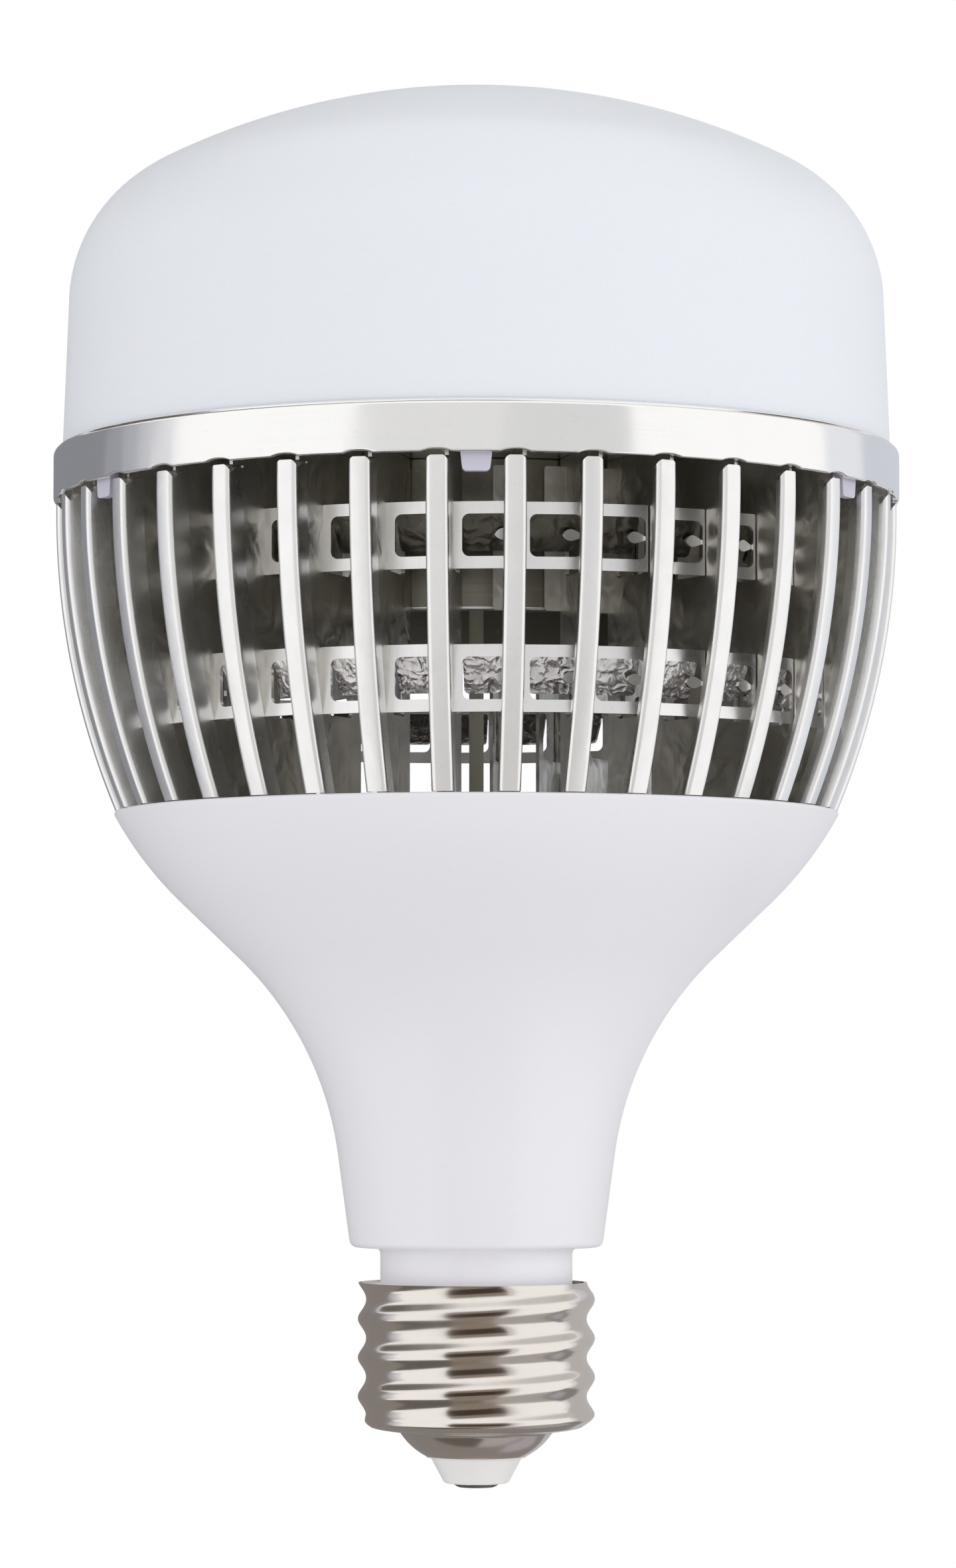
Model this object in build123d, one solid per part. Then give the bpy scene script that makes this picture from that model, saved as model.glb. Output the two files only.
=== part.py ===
"""High-power LED bulb: stamped aluminium fins between a pan and a moulded housing.

Millimetres, +Z up along the bulb's axis, dome up. The origin is the bottom of the
centre contact, on the axis. The front is towards -Y.
"""

import os
from math import acos, atan2, cos, hypot, pi, radians, sin, sqrt, tan

from build123d import *

# Fits
CLEARANCE = 0.15          # between parts that slip together
SEAT_GAP = 0.05           # between parts that rest on each other

# Cap: a rolled and crimped shell, a moulded insulator and the contact on it
CONTACT_RADIUS = 3.7
CONTACT_HEIGHT = 1.0
CONTACT_STEM_RADIUS = 1.5
CONTACT_STEM_LENGTH = 4.5
INSULATOR_TIP_Z = 1.1
INSULATOR_TIP_RADIUS = 5.1
INSULATOR_TIP_ROUND = 0.8
INSULATOR_RIM_RADIUS = 7.5
INSULATOR_CONE_HEIGHT = 3.9
INSULATOR_PLUG_HEIGHT = 2.4
INSULATOR_BORE_RADIUS = 2.5
SHELL_SHEET = 0.45
SHELL_LIP_RADIUS = 8.2
SHELL_CONE_RADIUS = 12.6
SHELL_CONE_HEIGHT = 4.0
SHELL_CORNER_RADIUS = 17.2
SHELL_FLOOR_RISE = 0.7
SHELL_HEIGHT = 23.7
THREAD_CREST_RADIUS = 19.5
THREAD_DEPTH = 1.2
THREAD_PITCH = 6.35
THREAD_CRESTS = 4
THREAD_RUN_IN = 2.5

# Sleeve that carries the cap and shows as a narrow collar
COLLAR_RADIUS = 16.05
COLLAR_HEIGHT = 5.8
SLEEVE_WALL = 2.0
SLEEVE_FLANGE_THICKNESS = 1.6
SPIGOT_LIFT = 2.3
SPIGOT_CHAMFER = 1.0
SHOULDER_SET = 0.6

# Moulded lower housing, an ogee from the neck out to the fins
HOUSING_WALL = 2.4
HOUSING_FOOT_ROUND = 1.2
NECK_TOP_RADIUS = 22.8
NECK_LENGTH = 15.2
NECK_ANGLE = 7.7
SLOPE_ANGLE = 46.3
SLOPE_LENGTH = 12.8
SHOULDER_ARC_RADIUS = 61.0
BRIM_ANGLE = 28.5
LEDGE_ANGLE = 37.0
RECESS_DEPTH = 2.6
RECESS_WALL = 2.9
BOSS_RADIUS = 4.0
BOSS_LENGTH = 20.0
BOSS_HOLE_DEPTH = 9.0

# Pan that holds the light board; its rolled wall is the bright rim
RIM_RADIUS = 70.0
RIM_WALL = 1.2
RIM_HEIGHT = 8.4
RIM_ROUND = 1.1
PAN_FLOOR_RISE = 2.0
PAN_SHEET = 1.4
TAB_SLOT_MARGIN = 0.5

# Stamped fins, which taper from the rim in to the housing's brim
CAGE_HEIGHT = 51.3
CAGE_TAPER = 10.0
FIN_DEPTH = 22.9
FIN_COUNT = 36
FIN_SHEET = 0.6
FIN_SETBACK = 0.5
FIN_TOP_GAP = 0.8
FIN_STRAIGHT = 2.0
FLANGE_WIDTH = 3.5
FLANGE_LIP_DEPTH = 2.2
FIN_FOOT_SETBACK = 0.6
FIN_FOOT_DEPTH = 2.0
BRACE_WIDTH = 3.2
WINDOW_HEIGHT = 10.4
WINDOW_BORDER = 1.9
WINDOW_SIDE_BORDER = 1.3
WINDOW_INSET = 0.1
UPPER_WINDOW_DROP = 11.7
LOWER_WINDOW_RISE = 17.5
TONGUE_HEIGHT = 1.9
TONGUE_REACH = 2.5

# Tube that the fins are crimped round
TUBE_WALL = 1.2
TUBE_LENGTH = 24.0
TUBE_FLANGE_WIDTH = 9.0
TUBE_FLANGE_SHEET = 1.2
RIVET_COUNT = 6
RIVET_RADIUS = 1.5
RIVET_HEAD_RADIUS = 2.8
RIVET_HEAD_HEIGHT = 1.0

# Light board
BOARD_MARGIN = 10.8
BOARD_THICKNESS = 1.6
BOARD_SCREWS = 4
BOARD_SCREW_EDGE = 4.0
CHIP_SIZE = 3.0
CHIP_HEIGHT = 0.7
CHIP_RING_COUNTS = (8, 16, 28)
SCREW_RADIUS = 1.4
SCREW_HEAD_RADIUS = 2.6
SCREW_HEAD_HEIGHT = 1.6
SCREW_PROUD = 1.5
WIRE_HOLE_RADIUS = 3.0

# Diffuser dome
DIFFUSER_WALL = 2.0
DIFFUSER_FIT = 0.25
DOME_WALL_HEIGHT = 29.4
DOME_DRAFT = 0.95
DOME_SHOULDER_RADIUS = 24.7
DOME_CROWN_RADIUS = 116.3
TAB_COUNT = 6
TAB_ROOT_WIDTH = 5.3
TAB_TIP_WIDTH = 4.2
TAB_LENGTH = 4.8
TAB_THICKNESS = 1.5

# Seat plate that the fins stand in, with the lead sleeve on the axis
SEAT_SHEET = 1.2
SEAT_PLATE_HOLE = 4.2
SEAT_SCREWS = 3
SEAT_SCREW_MARGIN = 2.0
LEAD_SLEEVE_RADIUS = 1.2
LEAD_SLEEVE_WALL = 0.4
GROMMET_FLANGE_RADIUS = 6.0
GROMMET_FLANGE_HEIGHT = 1.2

# Driver
DRIVER_THICKNESS = 1.6
DRIVER_NECK_WIDTH = 30.0
DRIVER_SIDE_ROOM = 20.2
DRIVER_TOP_DROP = 3.0
DRIVER_WIDE_HEIGHT = 20.0
DRIVER_TAPER_HEIGHT = 12.0
GUIDE_RIB_THICKNESS = 1.6
GUIDE_RIB_HEIGHT = 12.0
GUIDE_RIB_GRIP = 2.5
CAPACITOR_RADIUS = 7.5
CAPACITOR_LENGTH = 20.0
CAPACITOR_GROOVE = 0.8
CAPACITOR_LIFT = 1.0
CORE_WIDTH = 20.0
CORE_HEIGHT = 16.0
CORE_MARGIN = 1.5
CORE_DEPTH = 7.0
CORE_LEG = 3.4
COIL_DEPTH = 15.2
FILM_WIDTH = 13.0
FILM_HEIGHT = 12.0
FILM_DEPTH = 6.5
FILM_ROUND = 1.0
FILM_MARGIN = 1.0
CHOKE_RADIUS = 8.5
CHOKE_BORE = 3.4
CHOKE_DEPTH = 7.0
CHOKE_LIFT = 2.0
SINK_WIDTH = 16.0
SINK_HEIGHT = 15.0
SINK_SHEET = 1.6
SINK_FOOT = 9.0
SINK_DROP = 1.0
LEAD_RADIUS = 0.9

# Heights that follow, from the contact up to the housing's neck
INSULATOR_RIM_Z = INSULATOR_TIP_Z + INSULATOR_CONE_HEIGHT
SHELL_LIP_Z = INSULATOR_RIM_Z + CLEARANCE
INSULATOR_TOP_Z = SHELL_LIP_Z + INSULATOR_PLUG_HEIGHT
SHELL_CONE_Z = SHELL_LIP_Z + SHELL_CONE_HEIGHT
SHELL_BOTTOM_Z = SHELL_CONE_Z + SHELL_FLOOR_RISE
SHELL_TOP_Z = SHELL_BOTTOM_Z + SHELL_HEIGHT
THREAD_FIRST_CREST_Z = SHELL_BOTTOM_Z + THREAD_RUN_IN
THREAD_ROOT_RADIUS = THREAD_CREST_RADIUS - THREAD_DEPTH
SPIGOT_RADIUS = THREAD_ROOT_RADIUS - SHELL_SHEET - CLEARANCE
SPIGOT_BOTTOM_Z = SHELL_BOTTOM_Z + SPIGOT_LIFT
HOUSING_BOTTOM_Z = SHELL_TOP_Z + COLLAR_HEIGHT
NECK_TOP_Z = HOUSING_BOTTOM_Z + NECK_LENGTH
FIN_PITCH = 360 / FIN_COUNT
BRIM_RADIUS = RIM_RADIUS - CAGE_TAPER


def point(radius, z):
    """A point of a half section, on the XZ plane."""
    return (radius, 0, z)


def arc_between(start, middle, end):
    return ThreePointArc(point(*start), point(*middle), point(*end))


def lines(*corners):
    """Straight edges through a chain of corners."""
    return [Line(point(*a), point(*b)) for a, b in zip(corners, corners[1:])]


def outline(*corners):
    """A closed face with straight sides, on the XZ plane."""
    return make_face(lines(*corners, corners[0]))


def turned(face):
    """The solid of revolution of a half section about the bulb's axis."""
    return revolve(face, axis=Axis.Z)


def ring(inner, outer, bottom, top):
    """A flat-ended ring, or a disc where the inner radius is 0."""
    return turned(outline((inner, bottom), (outer, bottom), (outer, top), (inner, top)))


def post(radius, bottom, top, at=(0, 0)):
    """A plain round post standing at a place beside the axis."""
    return Pos(at[0], at[1], (bottom + top) / 2) * Cylinder(radius, top - bottom)


def circle_places(count, radius, first_angle=0.0):
    """Places evenly round the axis, as (x, y)."""
    angles = [radians(first_angle + 360 * index / count) for index in range(count)]
    return [(radius * cos(angle), radius * sin(angle)) for angle in angles]


def raised(face, depth, offset=0.0):
    """A face on the XZ plane, moved to y = offset and thickened towards +Y."""
    return extrude(Pos(0, offset, 0) * face, amount=depth, dir=(0, 1, 0))


# Housing section: every arc keeps its tangents when it is moved inwards by an inset

def neck_radius(z):
    """The neck's outer radius, which its draft widens upwards."""
    return NECK_TOP_RADIUS - tan(radians(NECK_ANGLE)) * (NECK_TOP_Z - z)


def ogee(inset, end_angle):
    """The edges of the housing's section from the neck up to a brim angle."""
    neck, slope, end = radians(NECK_ANGLE), radians(SLOPE_ANGLE), radians(end_angle)
    foot_radius = neck_radius(HOUSING_BOTTOM_Z)

    def shifted(radius, z, angle):
        return (radius - inset * cos(angle), z + inset * sin(angle))

    def swept(start, radius, begin, finish):
        """A point along an arc whose direction turns from begin to finish."""
        side = 1 if finish > begin else -1
        out = side * radius * (cos(begin) - cos(finish))
        up = side * radius * (sin(finish) - sin(begin))
        return (start[0] + out, start[1] + up)

    foot = shifted(foot_radius, HOUSING_BOTTOM_Z, neck)
    low = shifted(NECK_TOP_RADIUS, NECK_TOP_Z, neck)
    # The hollow arc is as large as it takes to reach the brim
    shoulder_out = SHOULDER_ARC_RADIUS * (cos(radians(BRIM_ANGLE)) - cos(slope))
    hollow_out = BRIM_RADIUS - NECK_TOP_RADIUS - SLOPE_LENGTH * sin(slope) - shoulder_out
    hollow_radius = hollow_out / (cos(neck) - cos(slope)) + inset
    hollow = [swept(low, hollow_radius, neck, a) for a in ((neck + slope) / 2, slope)]
    rise = (SLOPE_LENGTH * sin(slope), SLOPE_LENGTH * cos(slope))
    high = (hollow[1][0] + rise[0], hollow[1][1] + rise[1])
    shoulder_radius = SHOULDER_ARC_RADIUS - inset
    shoulder = [swept(high, shoulder_radius, slope, a) for a in ((slope + end) / 2, end)]
    arcs = [arc_between(low, *hollow), arc_between(high, *shoulder)]
    return arcs + lines(foot, low) + lines(hollow[1], high), foot, shoulder[1]


# Heights and radii that follow, from the housing's brim up to the dome
BRIM_Z = ogee(0, BRIM_ANGLE)[2][1]
SEAT_Z = BRIM_Z - RECESS_DEPTH
SEAT_TOP_Z = SEAT_Z + SEAT_SHEET
RECESS_RADIUS = BRIM_RADIUS - RECESS_WALL
LEDGE_RADIUS = ogee(HOUSING_WALL, LEDGE_ANGLE)[2][0]
RIM_BOTTOM_Z = BRIM_Z + CAGE_HEIGHT
RIM_TOP_Z = RIM_BOTTOM_Z + RIM_HEIGHT
RIM_INNER_RADIUS = RIM_RADIUS - RIM_WALL
PAN_FLOOR_Z = RIM_BOTTOM_Z + PAN_FLOOR_RISE
PAN_TOP_Z = PAN_FLOOR_Z + PAN_SHEET
BOARD_TOP_Z = PAN_TOP_Z + BOARD_THICKNESS
BOARD_RADIUS = RIM_INNER_RADIUS - BOARD_MARGIN
BOARD_SCREW_CIRCLE = BOARD_RADIUS - BOARD_SCREW_EDGE
BOARD_SCREW_ANGLE = 4 * FIN_PITCH
FIN_TOP_RADIUS = RIM_RADIUS - FIN_SETBACK
FIN_INNER_RADIUS = FIN_TOP_RADIUS - FIN_DEPTH
TUBE_RADIUS = FIN_INNER_RADIUS - FIN_SHEET
TUBE_BOTTOM_Z = PAN_FLOOR_Z - TUBE_LENGTH
TUBE_FLANGE_Z = PAN_FLOOR_Z - TUBE_FLANGE_SHEET
TUBE_FLANGE_INNER = TUBE_RADIUS - TUBE_FLANGE_WIDTH
RIVET_CIRCLE = (TUBE_RADIUS - TUBE_WALL + TUBE_FLANGE_INNER) / 2
FIN_TOP_Z = RIM_BOTTOM_Z - FIN_TOP_GAP
FIN_LOW_Z = BRIM_Z + CLEARANCE
FIN_LOW_RADIUS = BRIM_RADIUS - FIN_SETBACK
FIN_BOW_START_Z = RIM_BOTTOM_Z - FIN_STRAIGHT
FIN_BOW_HEIGHT = FIN_BOW_START_Z - BRIM_Z
FIN_BOW_SAG = FIN_TOP_RADIUS - FIN_LOW_RADIUS
FIN_BOW_RADIUS = (FIN_BOW_HEIGHT ** 2 + FIN_BOW_SAG ** 2) / (2 * FIN_BOW_SAG)
FIN_FOOT_OUTER = LEDGE_RADIUS - 2 * CLEARANCE
FIN_FOOT_INNER = FIN_INNER_RADIUS + FIN_FOOT_SETBACK
WINDOW_RADIUS = BRIM_RADIUS - WINDOW_INSET
UPPER_WINDOW_Z = RIM_BOTTOM_Z - UPPER_WINDOW_DROP
LOWER_WINDOW_Z = BRIM_Z + LOWER_WINDOW_RISE
SEAT_SCREW_CIRCLE = FIN_INNER_RADIUS - SCREW_HEAD_RADIUS - SEAT_SCREW_MARGIN
DIFFUSER_FOOT_RADIUS = RIM_INNER_RADIUS - DIFFUSER_FIT
DOME_WALL_TOP_RADIUS = DIFFUSER_FOOT_RADIUS - DOME_DRAFT
DOME_SHOULDER_Z = PAN_TOP_Z + DOME_WALL_HEIGHT
TAB_OUTER_RADIUS = DIFFUSER_FOOT_RADIUS - CLEARANCE
TAB_TIP_Z = PAN_FLOOR_Z - TAB_LENGTH

# Places inside the housing
SLEEVE_FLANGE_Z = HOUSING_BOTTOM_Z + HOUSING_WALL + SEAT_GAP
SLEEVE_FLANGE_RADIUS = neck_radius(SLEEVE_FLANGE_Z) - HOUSING_WALL - 2 * CLEARANCE
SLEEVE_TOP_Z = SLEEVE_FLANGE_Z + SLEEVE_FLANGE_THICKNESS
DRIVER_BOTTOM_Z = SLEEVE_TOP_Z + SEAT_GAP
DRIVER_WIDTH = 2 * (LEDGE_RADIUS - DRIVER_SIDE_ROOM)
DRIVER_TOP_Z = SEAT_Z - GROMMET_FLANGE_HEIGHT - DRIVER_TOP_DROP
DRIVER_WAIST_Z = DRIVER_TOP_Z - DRIVER_WIDE_HEIGHT
FRONT = -DRIVER_THICKNESS / 2 - SEAT_GAP
BACK = DRIVER_THICKNESS / 2 + SEAT_GAP


def filled_ogee(inset):
    """The housing's outside as a full solid, moved inwards by an inset."""
    outer, foot, brim = ogee(inset, BRIM_ANGLE)
    return turned(make_face(outer + lines(brim, (0, brim[1]), (0, foot[1]), foot)))


def housing():
    body = filled_ogee(0)
    bottom_edge = body.edges().filter_by(GeomType.CIRCLE).sort_by(Axis.Z)[0]
    body = fillet(bottom_edge, HOUSING_FOOT_ROUND)
    inner, inner_foot, ledge = ogee(HOUSING_WALL, LEDGE_ANGLE)
    walls = lines(ledge, (ledge[0], SEAT_Z), (0, SEAT_Z), (0, inner_foot[1]), inner_foot)
    cavity = turned(make_face(inner + walls))
    cavity -= ring(0, 2 * BRIM_RADIUS, 0, HOUSING_BOTTOM_Z + HOUSING_WALL)
    body -= cavity
    body -= ring(0, RECESS_RADIUS, SEAT_Z, BRIM_Z + HOUSING_WALL)
    body -= ring(0, COLLAR_RADIUS + CLEARANCE, 0, HOUSING_BOTTOM_Z + HOUSING_WALL)
    # Bosses and ribs are trimmed halfway through the wall that they grow from
    room = filled_ogee(HOUSING_WALL / 2)
    for x, y in circle_places(SEAT_SCREWS, SEAT_SCREW_CIRCLE, 90):
        body += post(BOSS_RADIUS, SEAT_Z - BOSS_LENGTH, SEAT_Z, (x, y)) & room
        body -= post(SCREW_RADIUS + SEAT_GAP, SEAT_Z - BOSS_HOLE_DEPTH, SEAT_Z, (x, y))
    for rib in guide_ribs():
        body += rib & room
    return body


def guide_ribs():
    """Two pairs of ribs inside the wall that grip the driver board's upper corners."""
    inner = DRIVER_WIDTH / 2 - GUIDE_RIB_GRIP
    length = BRIM_RADIUS - inner
    beside = DRIVER_THICKNESS / 2 + CLEARANCE + GUIDE_RIB_THICKNESS / 2
    z = DRIVER_TOP_Z - GUIDE_RIB_HEIGHT / 2
    rib = Box(length, GUIDE_RIB_THICKNESS, GUIDE_RIB_HEIGHT)
    places = [(side, face) for side in (-1, 1) for face in (-1, 1)]
    return [Pos(side * (inner + length / 2), face * beside, z) * rib for side, face in places]


# Cap

def thread_wave(inset):
    """The rolled wall's section as arcs, crest and root in turn, from the bottom up."""
    depth, half = THREAD_DEPTH, THREAD_PITCH / 2
    # Two equal arcs meet on a slope halfway between crest and root
    turn = 2 * atan2(depth / 2, half / 2)
    arc = half / 2 / sin(turn)
    edges = []
    middle = THREAD_CREST_RADIUS - depth / 2

    def across(z, side):
        radius = arc - side * inset
        centre = middle + side * (depth / 2 - arc)
        reach = radius * sin(turn)
        flank = centre + side * radius * cos(turn)
        return (flank, z - reach), (centre + side * radius, z), (flank, z + reach)

    for index in range(2 * THREAD_CRESTS - 1):
        start, peak, end = across(THREAD_FIRST_CREST_Z + index * half, (-1) ** index)
        edges.append(arc_between(start, peak, end))
    return edges, across(THREAD_FIRST_CREST_Z, 1)[0], end


def cap_shell():
    outer, low, high = thread_wave(0)
    inner, inner_low, inner_high = thread_wave(SHELL_SHEET)
    sheet = SHELL_SHEET
    cone_run = SHELL_CONE_RADIUS - SHELL_LIP_RADIUS
    cone_rise = SHELL_CONE_Z - SHELL_LIP_Z
    lean = sheet * hypot(cone_run, cone_rise) / cone_run
    cone_corner = (SHELL_CONE_RADIUS - sheet / 2, SHELL_CONE_Z + lean - sheet / 2)
    floor_corner = (SHELL_CORNER_RADIUS - sheet / 2, SHELL_BOTTOM_Z + sheet)
    end = lines(
        low,
        (SHELL_CORNER_RADIUS, SHELL_BOTTOM_Z),
        (SHELL_CONE_RADIUS, SHELL_CONE_Z),
        (SHELL_LIP_RADIUS, SHELL_LIP_Z),
        (SHELL_LIP_RADIUS, SHELL_LIP_Z + lean),
        cone_corner,
        floor_corner,
        inner_low,
    )
    mouth = lines(high, (high[0], SHELL_TOP_Z), (inner_high[0], SHELL_TOP_Z), inner_high)
    return turned(make_face(outer + inner + end + mouth))


def cap_insulator():
    """A moulded plug that the shell's cone is crimped on to."""
    lip = SHELL_LIP_RADIUS - SEAT_GAP
    run = SHELL_CONE_RADIUS - SHELL_LIP_RADIUS
    slope = (SHELL_CONE_Z - SHELL_LIP_Z) / run
    lean = SHELL_SHEET * hypot(1, slope) + 2 * SEAT_GAP
    seat_radius = SHELL_LIP_RADIUS + (INSULATOR_TOP_Z - SHELL_LIP_Z - lean) / slope
    body = turned(outline(
        (0, INSULATOR_TIP_Z - INSULATOR_TIP_ROUND / 2),
        (INSULATOR_TIP_RADIUS - INSULATOR_TIP_ROUND, INSULATOR_TIP_Z - INSULATOR_TIP_ROUND / 2),
        (INSULATOR_TIP_RADIUS, INSULATOR_TIP_Z),
        (INSULATOR_RIM_RADIUS, INSULATOR_RIM_Z),
        (lip, INSULATOR_RIM_Z),
        (lip, SHELL_LIP_Z + lean),
        (seat_radius, INSULATOR_TOP_Z),
        (0, INSULATOR_TOP_Z),
    ))
    body -= post(INSULATOR_BORE_RADIUS, CONTACT_STEM_LENGTH - CONTACT_HEIGHT, INSULATOR_TOP_Z)
    body -= post(CONTACT_RADIUS + SEAT_GAP, 0, CONTACT_HEIGHT)
    body -= post(CONTACT_STEM_RADIUS + SEAT_GAP, 0, INSULATOR_TOP_Z)
    return body


def centre_contact():
    """A pressed button with a stem that the centre lead is soldered in."""
    button = post(CONTACT_RADIUS, 0, CONTACT_HEIGHT)
    button = chamfer(button.edges().sort_by(Axis.Z)[0], CONTACT_HEIGHT / 3, CONTACT_HEIGHT * 0.7)
    return button + post(CONTACT_STEM_RADIUS, 0, CONTACT_STEM_LENGTH)


def cap_sleeve():
    """Spigot, narrow collar and the flange that hangs it in the housing's neck."""
    bore = COLLAR_RADIUS - SLEEVE_WALL
    collar_foot = SHELL_TOP_Z - SHOULDER_SET
    shoulder = collar_foot - (SPIGOT_RADIUS - COLLAR_RADIUS)
    return turned(outline(
        (bore, SPIGOT_BOTTOM_Z),
        (SPIGOT_RADIUS - SPIGOT_CHAMFER, SPIGOT_BOTTOM_Z),
        (SPIGOT_RADIUS, SPIGOT_BOTTOM_Z + SPIGOT_CHAMFER),
        (SPIGOT_RADIUS, shoulder),
        (COLLAR_RADIUS, collar_foot),
        (COLLAR_RADIUS, SLEEVE_FLANGE_Z),
        (SLEEVE_FLANGE_RADIUS, SLEEVE_FLANGE_Z),
        (SLEEVE_FLANGE_RADIUS, SLEEVE_TOP_Z),
        (bore, SLEEVE_TOP_Z),
    ))


# Stamped fins

def fin_edge(inset, z):
    """The flange's radius at a height, moved inwards by an inset."""
    centre = FIN_TOP_RADIUS - FIN_BOW_RADIUS
    drop = FIN_BOW_START_Z - z
    return centre + sqrt((FIN_BOW_RADIUS - inset) ** 2 - drop ** 2)


def bowed_edge(inset, low, top):
    """The bowed edge from its foot up to the straight run under the rim."""
    middle = (low + FIN_BOW_START_Z) / 2
    heights = (low, middle, FIN_BOW_START_Z)
    bow = arc_between(*[(fin_edge(inset, z), z) for z in heights])
    straight = FIN_TOP_RADIUS - inset
    run = Line(point(straight, FIN_BOW_START_Z), point(straight, top))
    return [bow, run], (fin_edge(inset, low), low), (straight, top)


def bowed_strip(outer_inset, inner_inset, low, top):
    outer, outer_low, outer_top = bowed_edge(outer_inset, low, top)
    inner, inner_low, inner_top = bowed_edge(inner_inset, low, top)
    return make_face(outer + inner + lines(outer_low, inner_low) + lines(outer_top, inner_top))


def fin_web():
    """The flat sheet between the tube and the flange, with its foot."""
    web_top = PAN_FLOOR_Z - SEAT_GAP
    shoulder = RIM_INNER_RADIUS - FIN_SHEET
    edge, edge_low, edge_top = bowed_edge(FIN_SHEET, FIN_LOW_Z, FIN_TOP_Z)
    corners = (
        edge_low,
        (RECESS_RADIUS - CLEARANCE, FIN_LOW_Z),
        (RECESS_RADIUS - CLEARANCE, SEAT_TOP_Z + SEAT_GAP),
        (FIN_FOOT_OUTER, SEAT_TOP_Z + SEAT_GAP),
        (FIN_FOOT_OUTER, SEAT_TOP_Z - FIN_FOOT_DEPTH),
        (FIN_FOOT_INNER, SEAT_TOP_Z - FIN_FOOT_DEPTH),
        (FIN_FOOT_INNER, SEAT_TOP_Z + SEAT_GAP),
        (FIN_INNER_RADIUS, SEAT_TOP_Z + SEAT_GAP),
        (FIN_INNER_RADIUS, web_top),
        (shoulder, web_top),
        (shoulder, FIN_TOP_Z),
        edge_top,
    )
    return make_face(edge + lines(*corners))


def window_reach():
    """How far a bent window frame reaches, to just short of the next fin's web."""
    return 2 * WINDOW_RADIUS * tan(radians(FIN_PITCH / 2)) - FIN_SHEET - 2 * CLEARANCE


def window_frame(z, web_outside):
    """A frame bent out of the web at right angles, with its opening."""
    reach = window_reach()
    across = web_outside + reach / 2
    frame = Pos(WINDOW_RADIUS - FIN_SHEET / 2, across, z) * Box(FIN_SHEET, reach, WINDOW_HEIGHT)
    opening = Box(
        3 * FIN_SHEET, reach - 2 * WINDOW_SIDE_BORDER, WINDOW_HEIGHT - 2 * WINDOW_BORDER
    )
    return frame - Pos(WINDOW_RADIUS - FIN_SHEET / 2, across, z) * opening


def fin():
    """One fin, its flange centred on the XZ plane and its web at the flange's edge."""
    half = FLANGE_WIDTH / 2
    web_inside = half - FIN_SHEET
    face = bowed_strip(0, FIN_SHEET, FIN_LOW_Z, FIN_TOP_Z)
    lip = bowed_strip(0, FLANGE_LIP_DEPTH, FIN_LOW_Z, FIN_TOP_Z)
    body = raised(fin_web(), FIN_SHEET, web_inside)
    body += raised(face, FLANGE_WIDTH, -half)
    body += raised(lip, FIN_SHEET, -half)
    reach = window_reach()
    # The frames leave openings of their own size in the web
    opened = Box(reach, 4 * FIN_SHEET, WINDOW_HEIGHT)
    centre = WINDOW_RADIUS - FIN_SHEET - reach / 2
    for z in (UPPER_WINDOW_Z, LOWER_WINDOW_Z):
        body -= Pos(centre, half - FIN_SHEET / 2, z) * opened
        body += window_frame(z, half)
        tongue_radius = WINDOW_RADIUS + FIN_SHEET + TONGUE_REACH / 2
        tongue = Box(FIN_SHEET, TONGUE_REACH, TONGUE_HEIGHT)
        body += Pos(tongue_radius, web_inside - TONGUE_REACH / 2, z) * tongue
    # A narrow foot along the inner edge bears on the tube
    brace_height = TUBE_FLANGE_Z - TUBE_BOTTOM_Z
    brace_z = (TUBE_FLANGE_Z + TUBE_BOTTOM_Z) / 2
    brace_y = half - BRACE_WIDTH / 2
    brace = Box(FIN_SHEET, BRACE_WIDTH, brace_height)
    return body + Pos(FIN_INNER_RADIUS - FIN_SHEET / 2 + CLEARANCE, brace_y, brace_z) * brace


# Pan, tube and light board

def tab_outline():
    """The snap tab's trapezoid, facing outwards along +X, as a face on the YZ plane."""
    root, tip = TAB_ROOT_WIDTH / 2, TAB_TIP_WIDTH / 2
    top = PAN_TOP_Z + DIFFUSER_WALL
    corners = [(0, -root, top), (0, root, top), (0, root, PAN_FLOOR_Z),
               (0, tip, TAB_TIP_Z), (0, -tip, TAB_TIP_Z), (0, -root, PAN_FLOOR_Z)]
    return make_face(Polyline(*corners, close=True))


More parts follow.
